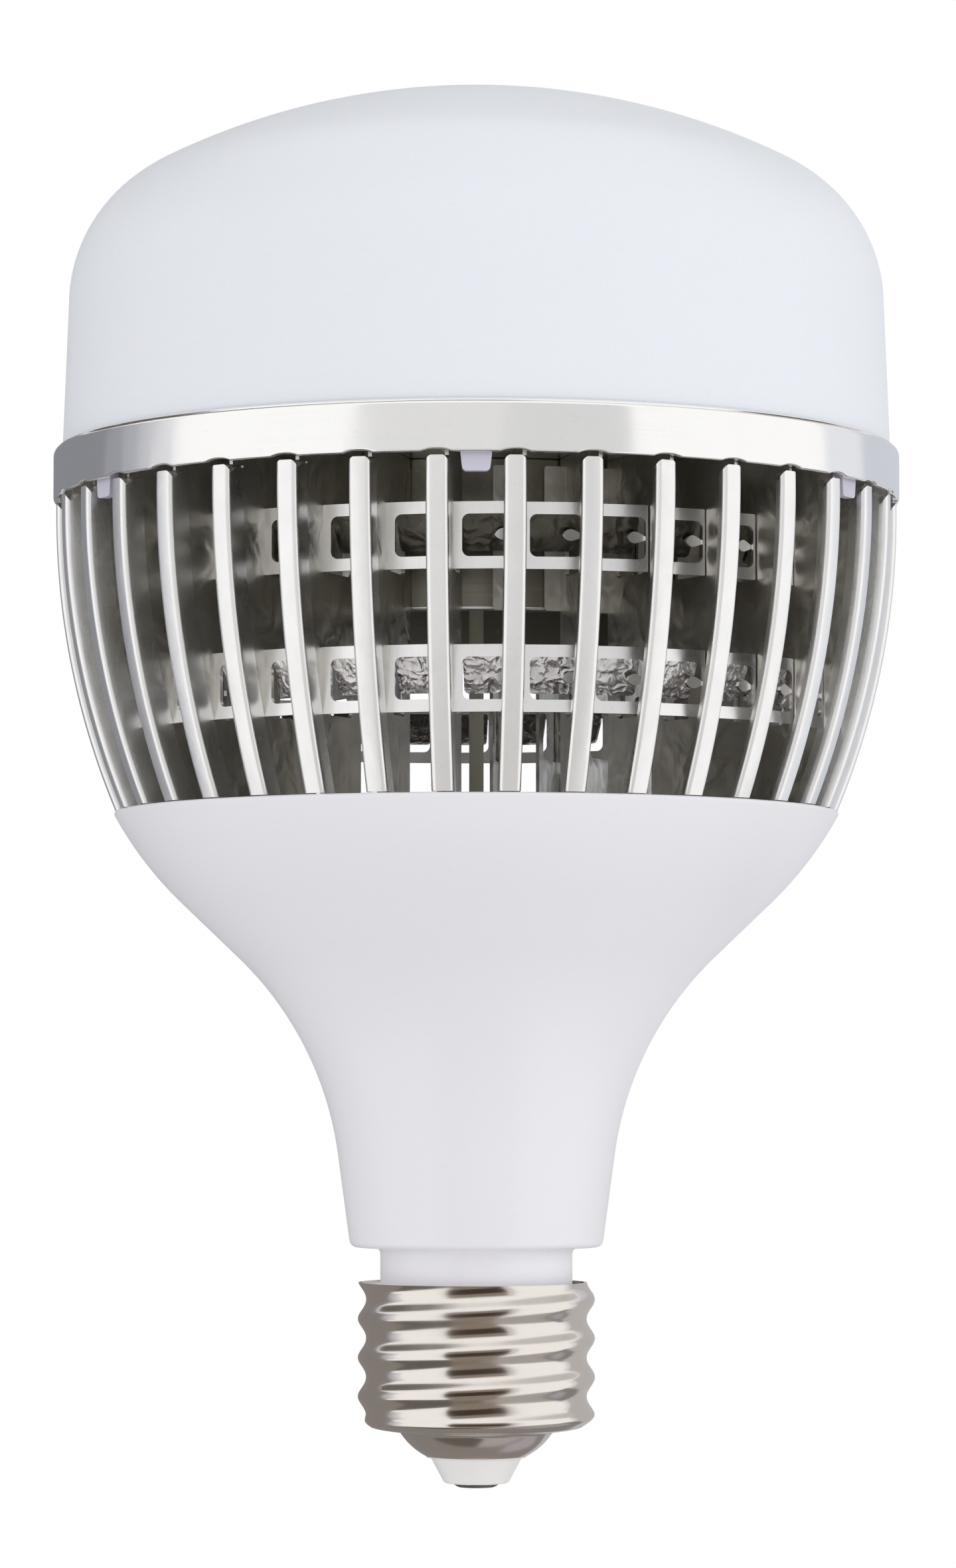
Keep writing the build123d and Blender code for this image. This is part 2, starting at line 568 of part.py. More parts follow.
def led_pan():
    wall_inner = RIM_INNER_RADIUS
    body = turned(outline(
        (WIRE_HOLE_RADIUS, PAN_FLOOR_Z),
        (wall_inner, PAN_FLOOR_Z),
        (wall_inner, RIM_BOTTOM_Z),
        (RIM_RADIUS, RIM_BOTTOM_Z),
        (RIM_RADIUS, RIM_TOP_Z),
        (wall_inner, RIM_TOP_Z),
        (wall_inner, PAN_TOP_Z),
        (WIRE_HOLE_RADIUS, PAN_TOP_Z),
    ))
    outer_edges = body.edges().filter_by(GeomType.CIRCLE)
    rim_top = outer_edges.filter_by(lambda e: abs(e.radius - RIM_RADIUS) < 1e-6)
    body = fillet(rim_top.sort_by(Axis.Z)[-1], min(RIM_ROUND, 0.95 * RIM_WALL))
    slot_inner = TAB_OUTER_RADIUS - TAB_THICKNESS - TAB_SLOT_MARGIN
    slot_length = wall_inner - slot_inner
    slot = Box(slot_length, TAB_ROOT_WIDTH + 2 * TAB_SLOT_MARGIN, 4 * PAN_SHEET)
    for index in range(TAB_COUNT):
        turn = Rot(0, 0, -90 + 360 * index / TAB_COUNT)
        body -= turn * Pos((slot_inner + wall_inner) / 2, 0, PAN_FLOOR_Z + PAN_SHEET / 2) * slot
    for x, y in circle_places(BOARD_SCREWS, BOARD_SCREW_CIRCLE, BOARD_SCREW_ANGLE):
        body -= post(SCREW_RADIUS + SEAT_GAP, PAN_FLOOR_Z, PAN_TOP_Z, (x, y))
    for x, y in circle_places(RIVET_COUNT, RIVET_CIRCLE):
        body -= post(RIVET_RADIUS + SEAT_GAP, PAN_FLOOR_Z, PAN_TOP_Z, (x, y))
    return body


def core_tube():
    """The tube under the pan, with a flange turned inwards and riveted to it."""
    inner = TUBE_RADIUS - TUBE_WALL
    body = turned(outline(
        (inner, TUBE_BOTTOM_Z),
        (TUBE_RADIUS, TUBE_BOTTOM_Z),
        (TUBE_RADIUS, PAN_FLOOR_Z),
        (TUBE_FLANGE_INNER, PAN_FLOOR_Z),
        (TUBE_FLANGE_INNER, TUBE_FLANGE_Z),
        (inner, TUBE_FLANGE_Z),
    ))
    for x, y in circle_places(RIVET_COUNT, RIVET_CIRCLE):
        body -= post(RIVET_RADIUS + SEAT_GAP, TUBE_FLANGE_Z, PAN_FLOOR_Z, (x, y))
    return body


def core_rivets():
    """Countersunk above, so that the light board lies flat, and domed below."""
    shank = turned(outline(
        (0, TUBE_FLANGE_Z - RIVET_HEAD_HEIGHT),
        (RIVET_HEAD_RADIUS * 0.6, TUBE_FLANGE_Z - RIVET_HEAD_HEIGHT),
        (RIVET_HEAD_RADIUS, TUBE_FLANGE_Z - RIVET_HEAD_HEIGHT / 2),
        (RIVET_HEAD_RADIUS, TUBE_FLANGE_Z),
        (RIVET_RADIUS, TUBE_FLANGE_Z),
        (RIVET_RADIUS, PAN_TOP_Z),
        (0, PAN_TOP_Z),
    ))
    return group([Pos(x, y, 0) * shank for x, y in circle_places(RIVET_COUNT, RIVET_CIRCLE)])


def led_board():
    body = ring(WIRE_HOLE_RADIUS, BOARD_RADIUS, PAN_TOP_Z, BOARD_TOP_Z)
    for x, y in circle_places(BOARD_SCREWS, BOARD_SCREW_CIRCLE, BOARD_SCREW_ANGLE):
        body -= post(SCREW_RADIUS + SEAT_GAP, PAN_TOP_Z, BOARD_TOP_Z, (x, y))
    return body


def led_chips():
    chip = Box(CHIP_SIZE, CHIP_SIZE, CHIP_HEIGHT)
    outermost = BOARD_SCREW_CIRCLE - SCREW_HEAD_RADIUS - CHIP_SIZE
    chips = []
    for ring_number, count in enumerate(CHIP_RING_COUNTS, start=1):
        radius = outermost * ring_number / len(CHIP_RING_COUNTS)
        for index in range(count):
            turn = Rot(0, 0, 360 * (index + 0.5) / count)
            chips.append(turn * Pos(radius, 0, BOARD_TOP_Z + CHIP_HEIGHT / 2) * chip)
    return group(chips)


def pan_head_screw(seat, reach):
    """A screw whose head stands on a seat, with a shank that reaches below it."""
    return turned(outline(
        (0, seat - reach),
        (SCREW_RADIUS, seat - reach),
        (SCREW_RADIUS, seat),
        (SCREW_HEAD_RADIUS, seat),
        (SCREW_HEAD_RADIUS, seat + SCREW_HEAD_HEIGHT * 0.6),
        (SCREW_HEAD_RADIUS * 0.7, seat + SCREW_HEAD_HEIGHT),
        (0, seat + SCREW_HEAD_HEIGHT),
    ))


def board_screws():
    """Self-tapping, between the fins' webs, just proud of the pan's underside."""
    screw = pan_head_screw(BOARD_TOP_Z, BOARD_THICKNESS + PAN_SHEET + SCREW_PROUD)
    places = circle_places(BOARD_SCREWS, BOARD_SCREW_CIRCLE, BOARD_SCREW_ANGLE)
    return group([Pos(x, y, 0) * screw for x, y in places])


def group(solids):
    """Like pieces that share one node, each a separate solid."""
    return Compound(children=[solid.solid() for solid in solids])


# Diffuser

def dome_edges(inset):
    """The dome's section from the foot to the crown, moved inwards by an inset."""
    shoulder = DOME_SHOULDER_RADIUS - inset
    crown = DOME_CROWN_RADIUS - inset
    shoulder_x = DOME_WALL_TOP_RADIUS - DOME_SHOULDER_RADIUS
    fall = sqrt((crown - shoulder) ** 2 - shoulder_x ** 2)
    crown_z = DOME_SHOULDER_Z - fall
    meet = acos(shoulder_x / (crown - shoulder))

    def on_shoulder(angle):
        return (shoulder_x + shoulder * cos(angle), DOME_SHOULDER_Z + shoulder * sin(angle))

    def on_crown(angle):
        return (crown * cos(angle), crown_z + crown * sin(angle))

    foot = (DIFFUSER_FOOT_RADIUS - inset, PAN_TOP_Z + SEAT_GAP)
    top = (0, crown_z + crown)
    arcs = [
        arc_between(on_shoulder(0), on_shoulder(meet / 2), on_shoulder(meet)),
        arc_between(on_shoulder(meet), on_crown((meet + pi / 2) / 2), top),
    ]
    return arcs + lines(foot, on_shoulder(0)), foot, top


def diffuser():
    outer, outer_foot, outer_top = dome_edges(0)
    inner, inner_foot, inner_top = dome_edges(DIFFUSER_WALL)
    ends = lines(outer_foot, inner_foot) + lines(outer_top, inner_top)
    body = turned(make_face(outer + inner + ends))
    tab = extrude(tab_outline(), amount=TAB_THICKNESS, dir=(1, 0, 0))
    for index in range(TAB_COUNT):
        turn = Rot(0, 0, -90 + 360 * index / TAB_COUNT)
        body += turn * Pos(TAB_OUTER_RADIUS - TAB_THICKNESS, 0, 0) * tab
    return body


# Seat plate, sleeve and grommet

def seat_plate():
    body = ring(SEAT_PLATE_HOLE, RECESS_RADIUS - CLEARANCE, SEAT_Z, SEAT_TOP_Z)
    foot_length = FIN_FOOT_OUTER - FIN_FOOT_INNER + 2 * CLEARANCE
    slot = Box(foot_length, FIN_SHEET + 2 * CLEARANCE, 4 * SEAT_SHEET)
    web_y = (FLANGE_WIDTH - FIN_SHEET) / 2
    middle = (FIN_FOOT_INNER + FIN_FOOT_OUTER) / 2
    for angle in fin_angles():
        body -= Rot(0, 0, angle) * Pos(middle, web_y, SEAT_Z) * slot
    for x, y in circle_places(SEAT_SCREWS, SEAT_SCREW_CIRCLE, 90):
        body -= post(SCREW_RADIUS + SEAT_GAP, SEAT_Z, SEAT_TOP_Z, (x, y))
    return body


def seat_screws():
    screw = pan_head_screw(SEAT_TOP_Z, SEAT_SHEET + BOSS_HOLE_DEPTH * 0.9)
    places = circle_places(SEAT_SCREWS, SEAT_SCREW_CIRCLE, 90)
    return group([Pos(x, y, 0) * screw for x, y in places])


def lead_grommet():
    """Snaps into the seat plate and holds the lead sleeve upright."""
    bore = LEAD_SLEEVE_RADIUS + SEAT_GAP
    waist = SEAT_PLATE_HOLE - SEAT_GAP
    below = SEAT_Z - GROMMET_FLANGE_HEIGHT
    above = SEAT_TOP_Z + GROMMET_FLANGE_HEIGHT
    return turned(outline(
        (bore, below),
        (GROMMET_FLANGE_RADIUS, below),
        (GROMMET_FLANGE_RADIUS, SEAT_Z - SEAT_GAP),
        (waist, SEAT_Z - SEAT_GAP),
        (waist, SEAT_TOP_Z + SEAT_GAP),
        (GROMMET_FLANGE_RADIUS, SEAT_TOP_Z + SEAT_GAP),
        (GROMMET_FLANGE_RADIUS, above),
        (bore, above),
    ))


def lead_sleeve():
    bottom = SEAT_Z - 2 * GROMMET_FLANGE_HEIGHT
    return ring(LEAD_SLEEVE_RADIUS - LEAD_SLEEVE_WALL, LEAD_SLEEVE_RADIUS, bottom, BOARD_TOP_Z)


# Driver: a T-shaped board on edge, narrow in the neck, where it stands on the sleeve

def driver_board():
    neck, wide = DRIVER_NECK_WIDTH / 2, DRIVER_WIDTH / 2
    shoulder_z = DRIVER_WAIST_Z + DRIVER_TAPER_HEIGHT
    shape = outline(
        (-neck, DRIVER_BOTTOM_Z), (neck, DRIVER_BOTTOM_Z), (neck, DRIVER_WAIST_Z),
        (wide, shoulder_z), (wide, DRIVER_TOP_Z),
        (-wide, DRIVER_TOP_Z), (-wide, shoulder_z), (-neck, DRIVER_WAIST_Z),
    )
    return raised(shape, DRIVER_THICKNESS, -DRIVER_THICKNESS / 2)


def bulk_capacitor():
    """A can lying against the board, with a rolled groove near its lower end."""
    radius = CAPACITOR_RADIUS
    groove = CAPACITOR_LENGTH * 0.12
    can = turned(outline(
        (0, 0), (radius, 0), (radius, groove), (radius - CAPACITOR_GROOVE, groove * 1.5),
        (radius, groove * 2), (radius, CAPACITOR_LENGTH), (0, CAPACITOR_LENGTH),
    ))
    return Pos(0, FRONT - radius, DRIVER_BOTTOM_Z + CAPACITOR_LIFT) * can


def transformer_core():
    """Two E halves, shown closed: a frame with a middle leg through the coil."""
    depth, leg = CORE_DEPTH, CORE_LEG
    opening_width = (CORE_WIDTH - 4 * leg) / 2
    body = Box(CORE_WIDTH, depth, CORE_HEIGHT)
    for side in (-1, 1):
        shift = side * (leg + opening_width / 2)
        body -= Pos(shift, 0, 0) * Box(opening_width, 2 * depth, CORE_HEIGHT - 2 * leg)
    return Pos(*transformer_place()) * body


def transformer_place():
    x = GUIDE_RIB_GRIP + CORE_MARGIN + CORE_WIDTH / 2 - DRIVER_WIDTH / 2
    return (x, FRONT - COIL_DEPTH / 2, DRIVER_TOP_Z - CORE_HEIGHT / 2)


def transformer_winding():
    """The coil round the middle leg, which fills the core's openings."""
    depth, leg = CORE_DEPTH, CORE_LEG
    height = CORE_HEIGHT - 2 * leg - 2 * SEAT_GAP
    opening_width = (CORE_WIDTH - 4 * leg) / 2
    outer_width = 2 * (leg + opening_width - SEAT_GAP)
    coil = Box(outer_width, COIL_DEPTH, height)
    coil = fillet(coil.edges().filter_by(Axis.Z), outer_width * 0.2)
    coil -= Box(2 * (leg + SEAT_GAP), depth + 2 * SEAT_GAP, 2 * height)
    return Pos(*transformer_place()) * coil


def film_capacitor():
    body = Box(FILM_WIDTH, FILM_DEPTH, FILM_HEIGHT)
    body = fillet(body.edges().filter_by(Axis.Y), FILM_ROUND)
    x = DRIVER_WIDTH / 2 - GUIDE_RIB_GRIP - FILM_MARGIN - FILM_WIDTH / 2
    return Pos(x, FRONT - FILM_DEPTH / 2, DRIVER_TOP_Z - FILM_HEIGHT / 2) * body


def filter_choke():
    """A toroid standing flat against the back of the board."""
    coil = Cylinder(CHOKE_RADIUS, CHOKE_DEPTH) - Cylinder(CHOKE_BORE, 2 * CHOKE_DEPTH)
    z = DRIVER_BOTTOM_Z + CHOKE_LIFT + CHOKE_RADIUS
    return Pos(0, BACK + CHOKE_DEPTH / 2, z) * Rot(90, 0, 0) * coil


def mosfet_heatsink():
    """A bent plate, one leg flat against the board's back and one standing out."""
    plate = Pos(0, SINK_SHEET / 2, -SINK_HEIGHT / 2) * Box(SINK_WIDTH, SINK_SHEET, SINK_HEIGHT)
    foot = Pos(0, SINK_FOOT / 2, -SINK_SHEET / 2) * Box(SINK_WIDTH, SINK_FOOT, SINK_SHEET)
    return Pos(DRIVER_WIDTH / 4, BACK, DRIVER_TOP_Z - SINK_DROP) * (plate + foot)


def straight_lead(start, end, radius=LEAD_RADIUS):
    """A short stiff lead between two points."""
    along = Vector(*end) - Vector(*start)
    return Solid.make_cylinder(radius, along.length, Plane(origin=start, z_dir=along))


def contact_leads():
    """The centre lead down to the contact and the side lead to the shell's wall."""
    top = DRIVER_BOTTOM_Z - SEAT_GAP
    centre_end = CONTACT_STEM_LENGTH + SEAT_GAP
    side_x = COLLAR_RADIUS - SLEEVE_WALL - LEAD_RADIUS - CLEARANCE
    side_end = SHELL_BOTTOM_Z + SHELL_SHEET + SEAT_GAP
    centre = straight_lead((0, 0, centre_end), (0, 0, top))
    side = straight_lead((side_x, 0, side_end), (side_x, 0, top))
    return group([centre, side])


def fin_angles():
    """The fins stand half a pitch either side of the front."""
    return [-90 + FIN_PITCH * (index + 0.5) for index in range(FIN_COUNT)]


def main():
    os.makedirs("parts", exist_ok=True)
    pieces = {
        "diffuser": diffuser(),
        "led_pan": led_pan(),
        "core_tube": core_tube(),
        "core_rivets": core_rivets(),
        "led_board": led_board(),
        "led_chips": led_chips(),
        "board_screws": board_screws(),
        "lead_sleeve": lead_sleeve(),
        "lead_grommet": lead_grommet(),
        "seat_plate": seat_plate(),
        "seat_screws": seat_screws(),
        "housing": housing(),
        "cap_sleeve": cap_sleeve(),
        "cap_shell": cap_shell(),
        "cap_insulator": cap_insulator(),
        "centre_contact": centre_contact(),
        "driver_board": driver_board(),
        "bulk_capacitor": bulk_capacitor(),
        "transformer_core": transformer_core(),
        "transformer_winding": transformer_winding(),
        "film_capacitor": film_capacitor(),
        "filter_choke": filter_choke(),
        "mosfet_heatsink": mosfet_heatsink(),
        "contact_leads": contact_leads(),
    }
    one_fin = fin()
    for number, angle in enumerate(fin_angles(), start=1):
        pieces[f"fin_{number:02d}"] = Rot(0, 0, angle) * one_fin
    for name, shape in pieces.items():
        export_step(shape, f"parts/{name}.step")


main()
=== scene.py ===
"""Looks of a high-power LED bulb: an opal dome over a cage of folded fins, on a large screw cap."""

from math import acos, asin, cos, degrees, pi, radians, sin, sqrt, tan
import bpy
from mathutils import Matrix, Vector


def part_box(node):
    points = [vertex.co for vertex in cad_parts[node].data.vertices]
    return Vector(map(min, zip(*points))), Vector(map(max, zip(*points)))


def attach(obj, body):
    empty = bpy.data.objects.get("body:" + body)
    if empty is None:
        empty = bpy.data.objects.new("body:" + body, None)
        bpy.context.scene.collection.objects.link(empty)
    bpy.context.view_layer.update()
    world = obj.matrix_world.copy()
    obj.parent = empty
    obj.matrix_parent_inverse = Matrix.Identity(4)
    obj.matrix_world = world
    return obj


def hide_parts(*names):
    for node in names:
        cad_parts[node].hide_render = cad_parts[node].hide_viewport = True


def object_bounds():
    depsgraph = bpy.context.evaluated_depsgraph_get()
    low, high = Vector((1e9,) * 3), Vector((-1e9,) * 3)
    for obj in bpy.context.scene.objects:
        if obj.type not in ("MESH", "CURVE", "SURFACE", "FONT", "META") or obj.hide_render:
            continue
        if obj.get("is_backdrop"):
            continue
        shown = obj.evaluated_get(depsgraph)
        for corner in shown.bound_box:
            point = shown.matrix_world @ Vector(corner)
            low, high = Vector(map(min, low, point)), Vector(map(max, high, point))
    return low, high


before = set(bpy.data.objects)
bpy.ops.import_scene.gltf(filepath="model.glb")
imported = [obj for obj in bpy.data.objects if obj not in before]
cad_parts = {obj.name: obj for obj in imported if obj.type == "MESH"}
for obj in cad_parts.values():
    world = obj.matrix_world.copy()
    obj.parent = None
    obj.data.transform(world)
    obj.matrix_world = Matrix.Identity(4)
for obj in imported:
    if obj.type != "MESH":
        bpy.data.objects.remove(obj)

from types import SimpleNamespace

import bmesh
import bpy
from bpy.props import FloatProperty, FloatVectorProperty, IntProperty, PointerProperty
from bpy.types import Operator, Panel, PropertyGroup
from mathutils import Vector
from mathutils.geometry import tessellate_polygon

bl_info = {
    "name": "LED bulb looks",
    "version": (1, 0, 0),
    "blender": (4, 5, 0),
    "location": "3D View > Sidebar > Bulb",
    "description": "Builds the detailed surfaces and finishes of an LED bulb on its CAD frame",
    "category": "Object",
}

MM = 0.001
HAIR = 0.05 * MM          # seat gap of the frame's solids
PLAY = 0.15 * MM          # slip gap of the frame's solids
FIN_NODES = sorted(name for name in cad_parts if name.startswith("fin_"))
FIN_PITCH = 360 / len(FIN_NODES)
FRONT = -90               # degrees from +X to the front


def length(name, millimetres, description):
    return FloatProperty(
        name=name, description=description, default=millimetres * MM,
        subtype="DISTANCE", unit="LENGTH", precision=5,
    )


def turn(name, angle, description):
    return FloatProperty(
        name=name, description=description, default=radians(angle),
        subtype="ANGLE", unit="ROTATION",
    )


def amount(name, value, description):
    return FloatProperty(name=name, description=description, default=value, min=0.0)


def count(name, value, description):
    return IntProperty(name=name, description=description, default=value, min=1)


def tint(name, red, green, blue, description):
    return FloatVectorProperty(
        name=name, description=description, default=(red, green, blue),
        subtype="COLOR", size=3, min=0.0, max=1.0,
    )


# Sizes and colours that a user would change

class DomeSizes(PropertyGroup):
    wall: length("Wall", 2.0, "Thickness of the moulded dome")
    rim_gap: length("Rim gap", 0.08, "Gap between the dome's foot and the rim")
    straight: length("Straight wall", 29.35, "Height of the nearly straight wall over the pan")
    draft: length("Draft", 1.12, "How far the straight wall leans in")
    shoulder: length("Shoulder radius", 24.7, "Radius of the shoulder's arc")
    crown: length("Crown radius", 116.3, "Radius of the crown's arc")
    tab_count: count("Tabs", 6, "Snap tabs round the foot")
    tab_root: length("Tab root", 5.3, "Width of a snap tab at the pan")
    tab_tip: length("Tab tip", 4.2, "Width of a snap tab at its tip")
    tab_sheet: length("Tab thickness", 1.5, "Thickness of a snap tab")
    tab_round: length("Tab round", 0.7, "Rounding of a snap tab's tip")
    edge: length("Edge break", 0.1, "Softening of the moulded edges")
    segments: count("Segments", 240, "Steps round the dome")


class RimSizes(PropertyGroup):
    wall: length("Wall", 1.2, "Thickness of the pan's rolled wall")
    top_round: length("Top round", 1.15, "Outer rounding of the rim's upper edge")
    foot_round: length("Foot round", 0.45, "Outer rounding of the rim's lower edge")
    floor_rise: length("Floor rise", 2.0, "Height of the floor over the rim's lower edge")
    sheet: length("Floor sheet", 1.4, "Thickness of the floor")
    hole: length("Wire hole", 3.0, "Radius of the wire hole")
    notch_width: length("Notch width", 4.2, "Width of the arch cut over each fin")
    notch_height: length("Notch height", 0.42, "Height of the arch cut over each fin")
    notch_fade: length("Notch fade", 1.6, "Height over which an arch fades out up the wall")
    notch_steps: count("Notch steps", 20, "Steps of the rim from one fin to the next")
    slot_depth: length("Slot depth", 2.4, "Depth of a snap tab's slot in the floor")
    slot_width: length("Slot width", 6.3, "Width of a snap tab's slot in the floor")


class FinSizes(PropertyGroup):
    sheet: length("Sheet", 0.6, "Thickness of the stamped sheet")
    bend: length("Bend radius", 0.8, "Outer radius of the folds beside the flange")
    flange: length("Flange width", 3.5, "Width of the outer flange")
    lip: length("Lip depth", 1.5, "Depth of the folded lip")
    setback: length("Setback", 0.5, "How far the fins stand in from the rim and the brim")
    straight: length("Straight run", 2.0, "Height of the straight run under the rim")
    top_gap: length("Top gap", 0.35, "Gap between the flange and the rim")
    foot_gap: length("Foot gap", 0.15, "Gap between the flange and the housing's brim")
    shoulder: length("Shoulder", 1.25, "Rounding of the flange's upper corners")
    shoulder_run: length("Shoulder run", 2.0, "Depth over which that rounding fades on the web")
    crumple: turn("Tilt", 1.1, "How far a flange may lean, because no two fins are folded alike")
    web_run: length("Web run", 4.0, "Depth of the folded part of the web")
    foot_inset: length("Foot inset", 0.6, "Distance from the web's inner edge to the foot")
    foot_length: length("Foot length", 5.72, "Length of the foot that stands in the seat plate")
    seat_side: length("Seat side", 56.95, "Radius where the web drops into the housing's recess")
    window_height: length("Window height", 10.4, "Height of a window's frame")
    window_inset: length("Window inset", 0.1, "How far the frames stand in from the brim")
    window_corner: length("Window corner", 1.1, "Rounding of a window's inner corners")
    frame_corner: length("Frame corner", 0.2, "Rounding of a frame's outer corners")
    frame_gap: length("Frame gap", 0.1, "Gap between a frame and the next web")
    rail: length("Rail", 1.9, "Height of a frame's rails")
    stile: length("Stile", 1.3, "Width of a frame's upright beside its own fin")
    far_stile: length("Far stile", 0.35, "Width of a frame's upright beside the next fin")
    flap_gap: length("Flap gap", 1.0, "Slit between a flap and the far upright")
    flap_corner: length("Flap corner", 0.7, "Rounding of a flap's corners")
    flap_swing: turn("Flap swing", 30, "How far a window's flap is pressed inwards")
    upper_drop: length("Upper window", 11.7, "Distance from the rim down to the upper window")
    lower_rise: length("Lower window", 17.5, "Distance from the brim up to the lower window")
    tongue_height: length("Tongue height", 1.9, "Height of a lock tongue")
    tongue_reach: length("Tongue reach", 3.6, "Length of a lock tongue")
    brace: length("Brace width", 3.2, "Width of the foot that bears on the tube")
    brace_height: length("Brace height", 22.8, "Height of the foot that bears on the tube")
    brace_corner: length("Brace corner", 0.5, "Rounding of that foot's corners")
    edge: length("Edge break", 0.07, "Softening of the sheared edges")


class TubeSizes(PropertyGroup):
    wall: length("Wall", 1.2, "Thickness of the tube")
    flange: length("Flange width", 9.0, "Width of the flange under the pan")
    flange_edge: length("Flange edge", 0.2, "Rounding of the flange's edges")
    bend: length("Bend", 0.3, "Inner rounding between tube and flange")
    roll: length("Roll", 0.55, "Radius of the tube's rounded lower edge")
    sleeve_wall: length("Sleeve wall", 0.4, "Thickness of the wires' sleeve")
    sleeve_round: length("Sleeve round", 0.12, "Rounding of the sleeve's ends")


class HousingSizes(PropertyGroup):
    wall: length("Wall", 2.4, "Thickness of the moulded housing")
    foot_round: length("Foot round", 1.2, "Rounding at the neck's lower edge")
    brim_round: length("Brim round", 0.35, "Rounding of the brim's outer edge")
    recess_round: length("Recess round", 0.3, "Rounding of the brim's inner edge")
    neck_top: length("Neck radius", 22.8, "Outer radius at the top of the neck")
    neck_length: length("Neck length", 15.2, "Length of the drafted neck")
    neck_angle: turn("Neck draft", 7.7, "Draft of the neck")
    slope_angle: turn("Slope", 46.3, "Lean of the straight slope between the arcs")
    slope_length: length("Slope length", 12.8, "Length of the straight slope")
    shoulder: length("Shoulder radius", 61.0, "Radius of the shoulder's arc")
    brim_angle: turn("Brim angle", 28.5, "Lean of the wall at the brim")
    ledge_angle: turn("Ledge angle", 37.0, "Lean of the inner wall at the ledge")
    recess_depth: length("Recess depth", 2.6, "Depth of the seat plate's recess")
    recess_wall: length("Recess wall", 2.9, "Width of the brim round the recess")
    bore: length("Bore", 16.2, "Radius of the hole that the collar passes through")
    boss: length("Boss radius", 4.0, "Radius of a screw boss")
    boss_length: length("Boss length", 12.0, "Length of a screw boss clear of the wall")
    boss_circle: length("Boss circle", 42.0, "Radius of the circle of bosses")
    boss_count: count("Bosses", 3, "Number of screw bosses")


class CapSizes(PropertyGroup):
    sheet: length("Sheet", 0.45, "Thickness of the rolled shell")
    thread_depth: length("Thread depth", 1.35, "Depth of the rolled thread")
    pitch: length("Pitch", 6.35, "Rise of the thread in one turn")
    start: length("Thread start", 18.075, "Height of a crest on the right-hand side")
    run_in: length("Run-in", 2.4, "Height over which the thread grows out of the corner")
    lip: length("Lip radius", 8.2, "Radius of the cone's lower lip")
    cone: length("Cone radius", 12.6, "Radius at the top of the cone")
    cone_height: length("Cone height", 4.0, "Height of the cone")
    cone_bulge: length("Cone bulge", 0.4, "How far the cone bows outwards")
    corner: length("Corner radius", 17.2, "Radius at the shell's lower corner")
    corner_lift: length("Corner lift", 0.12, "Rise of the thread's first row over that corner")
    floor_rise: length("Floor rise", 0.7, "Rise from the cone to the corner")
    insulator_rim: length("Insulator rim", 7.5, "Radius of the insulator's rim")
    insulator_tip: length("Insulator tip", 5.25, "Radius of the insulator's tip")
    insulator_cone: length("Insulator cone", 4.3, "Height of the insulator's cone")
    insulator_bore: length("Insulator bore", 1.6, "Radius of the insulator's hole")
    button: length("Button height", 1.0, "Height of the centre contact")
    button_bulge: length("Button bulge", 0.2, "How far the centre contact bows down")
    stem: length("Stem radius", 1.5, "Radius of the centre contact's stem")
    collar_flare: length("Collar flare", 1.1, "Hollow fillet between collar and housing")
    collar_wall: length("Collar wall", 2.0, "Thickness of the sleeve inside the cap")
    collar_waist: length("Collar waist", 15.8, "Radius of the collar between its ends")
    collar_taper: length("Collar taper", 1.1, "Height of the taper from spigot to collar")
    spigot_play: length("Spigot play", 0.3, "Gap between the spigot and the thread")
    spigot_break: length("Spigot chamfer", 1.0, "Chamfer at the spigot's lower end")


class BulbColours(PropertyGroup):
    dome: tint("Dome", 0.79, 0.815, 0.862, "Opal plastic of the dome")
    # Painted shade: the snap tabs are the dome's own plastic, given a darker lilac colour for the
    # shade they stand in
    tab: tint("Snap tabs", 0.56, 0.545, 0.64, "Shaded plastic of the dome's snap tabs")
    housing: tint("Housing", 0.79, 0.782, 0.82, "Moulded plastic of the housing")
    # Painted light: the collar is the housing's plastic made lighter, against the shade that the
    # housing casts on it
    collar: tint("Collar", 0.88, 0.87, 0.91, "Moulded collar under the housing")
    bright: tint("Bright sheet", 0.955, 0.948, 0.93, "Rim, flanges, frames and tongues")
    # Painted shade: the webs are the same sheet as the flanges, coloured darker for the shade between
    # the fins
    web: tint("Web", 0.74, 0.715, 0.66, "Rolled face of the fins' webs")
    flap: tint("Lower flaps", 0.95, 0.925, 0.92, "Crumpled sheet of the lower windows' flaps")
    # Painted shade: the upper flaps are the fins' sheet coloured almost black for the shade behind
    # the upper windows
    shaded: tint("Upper flaps", 0.13, 0.12, 0.1, "Dull sheet of the upper windows' flaps")
    # Painted shade: the aluminium tube is coloured dark for the deep shade it stands in behind the
    # fins
    tube: tint("Tube", 0.21, 0.2, 0.16, "Dark drawn tube")
    nickel: tint("Nickel", 0.83, 0.785, 0.73, "Plated shell of the cap")
    insulator: tint("Insulator", 0.80, 0.79, 0.775, "Moulded plug of the cap")
    contact: tint("Contact", 0.30, 0.29, 0.28, "Tinned centre contact")


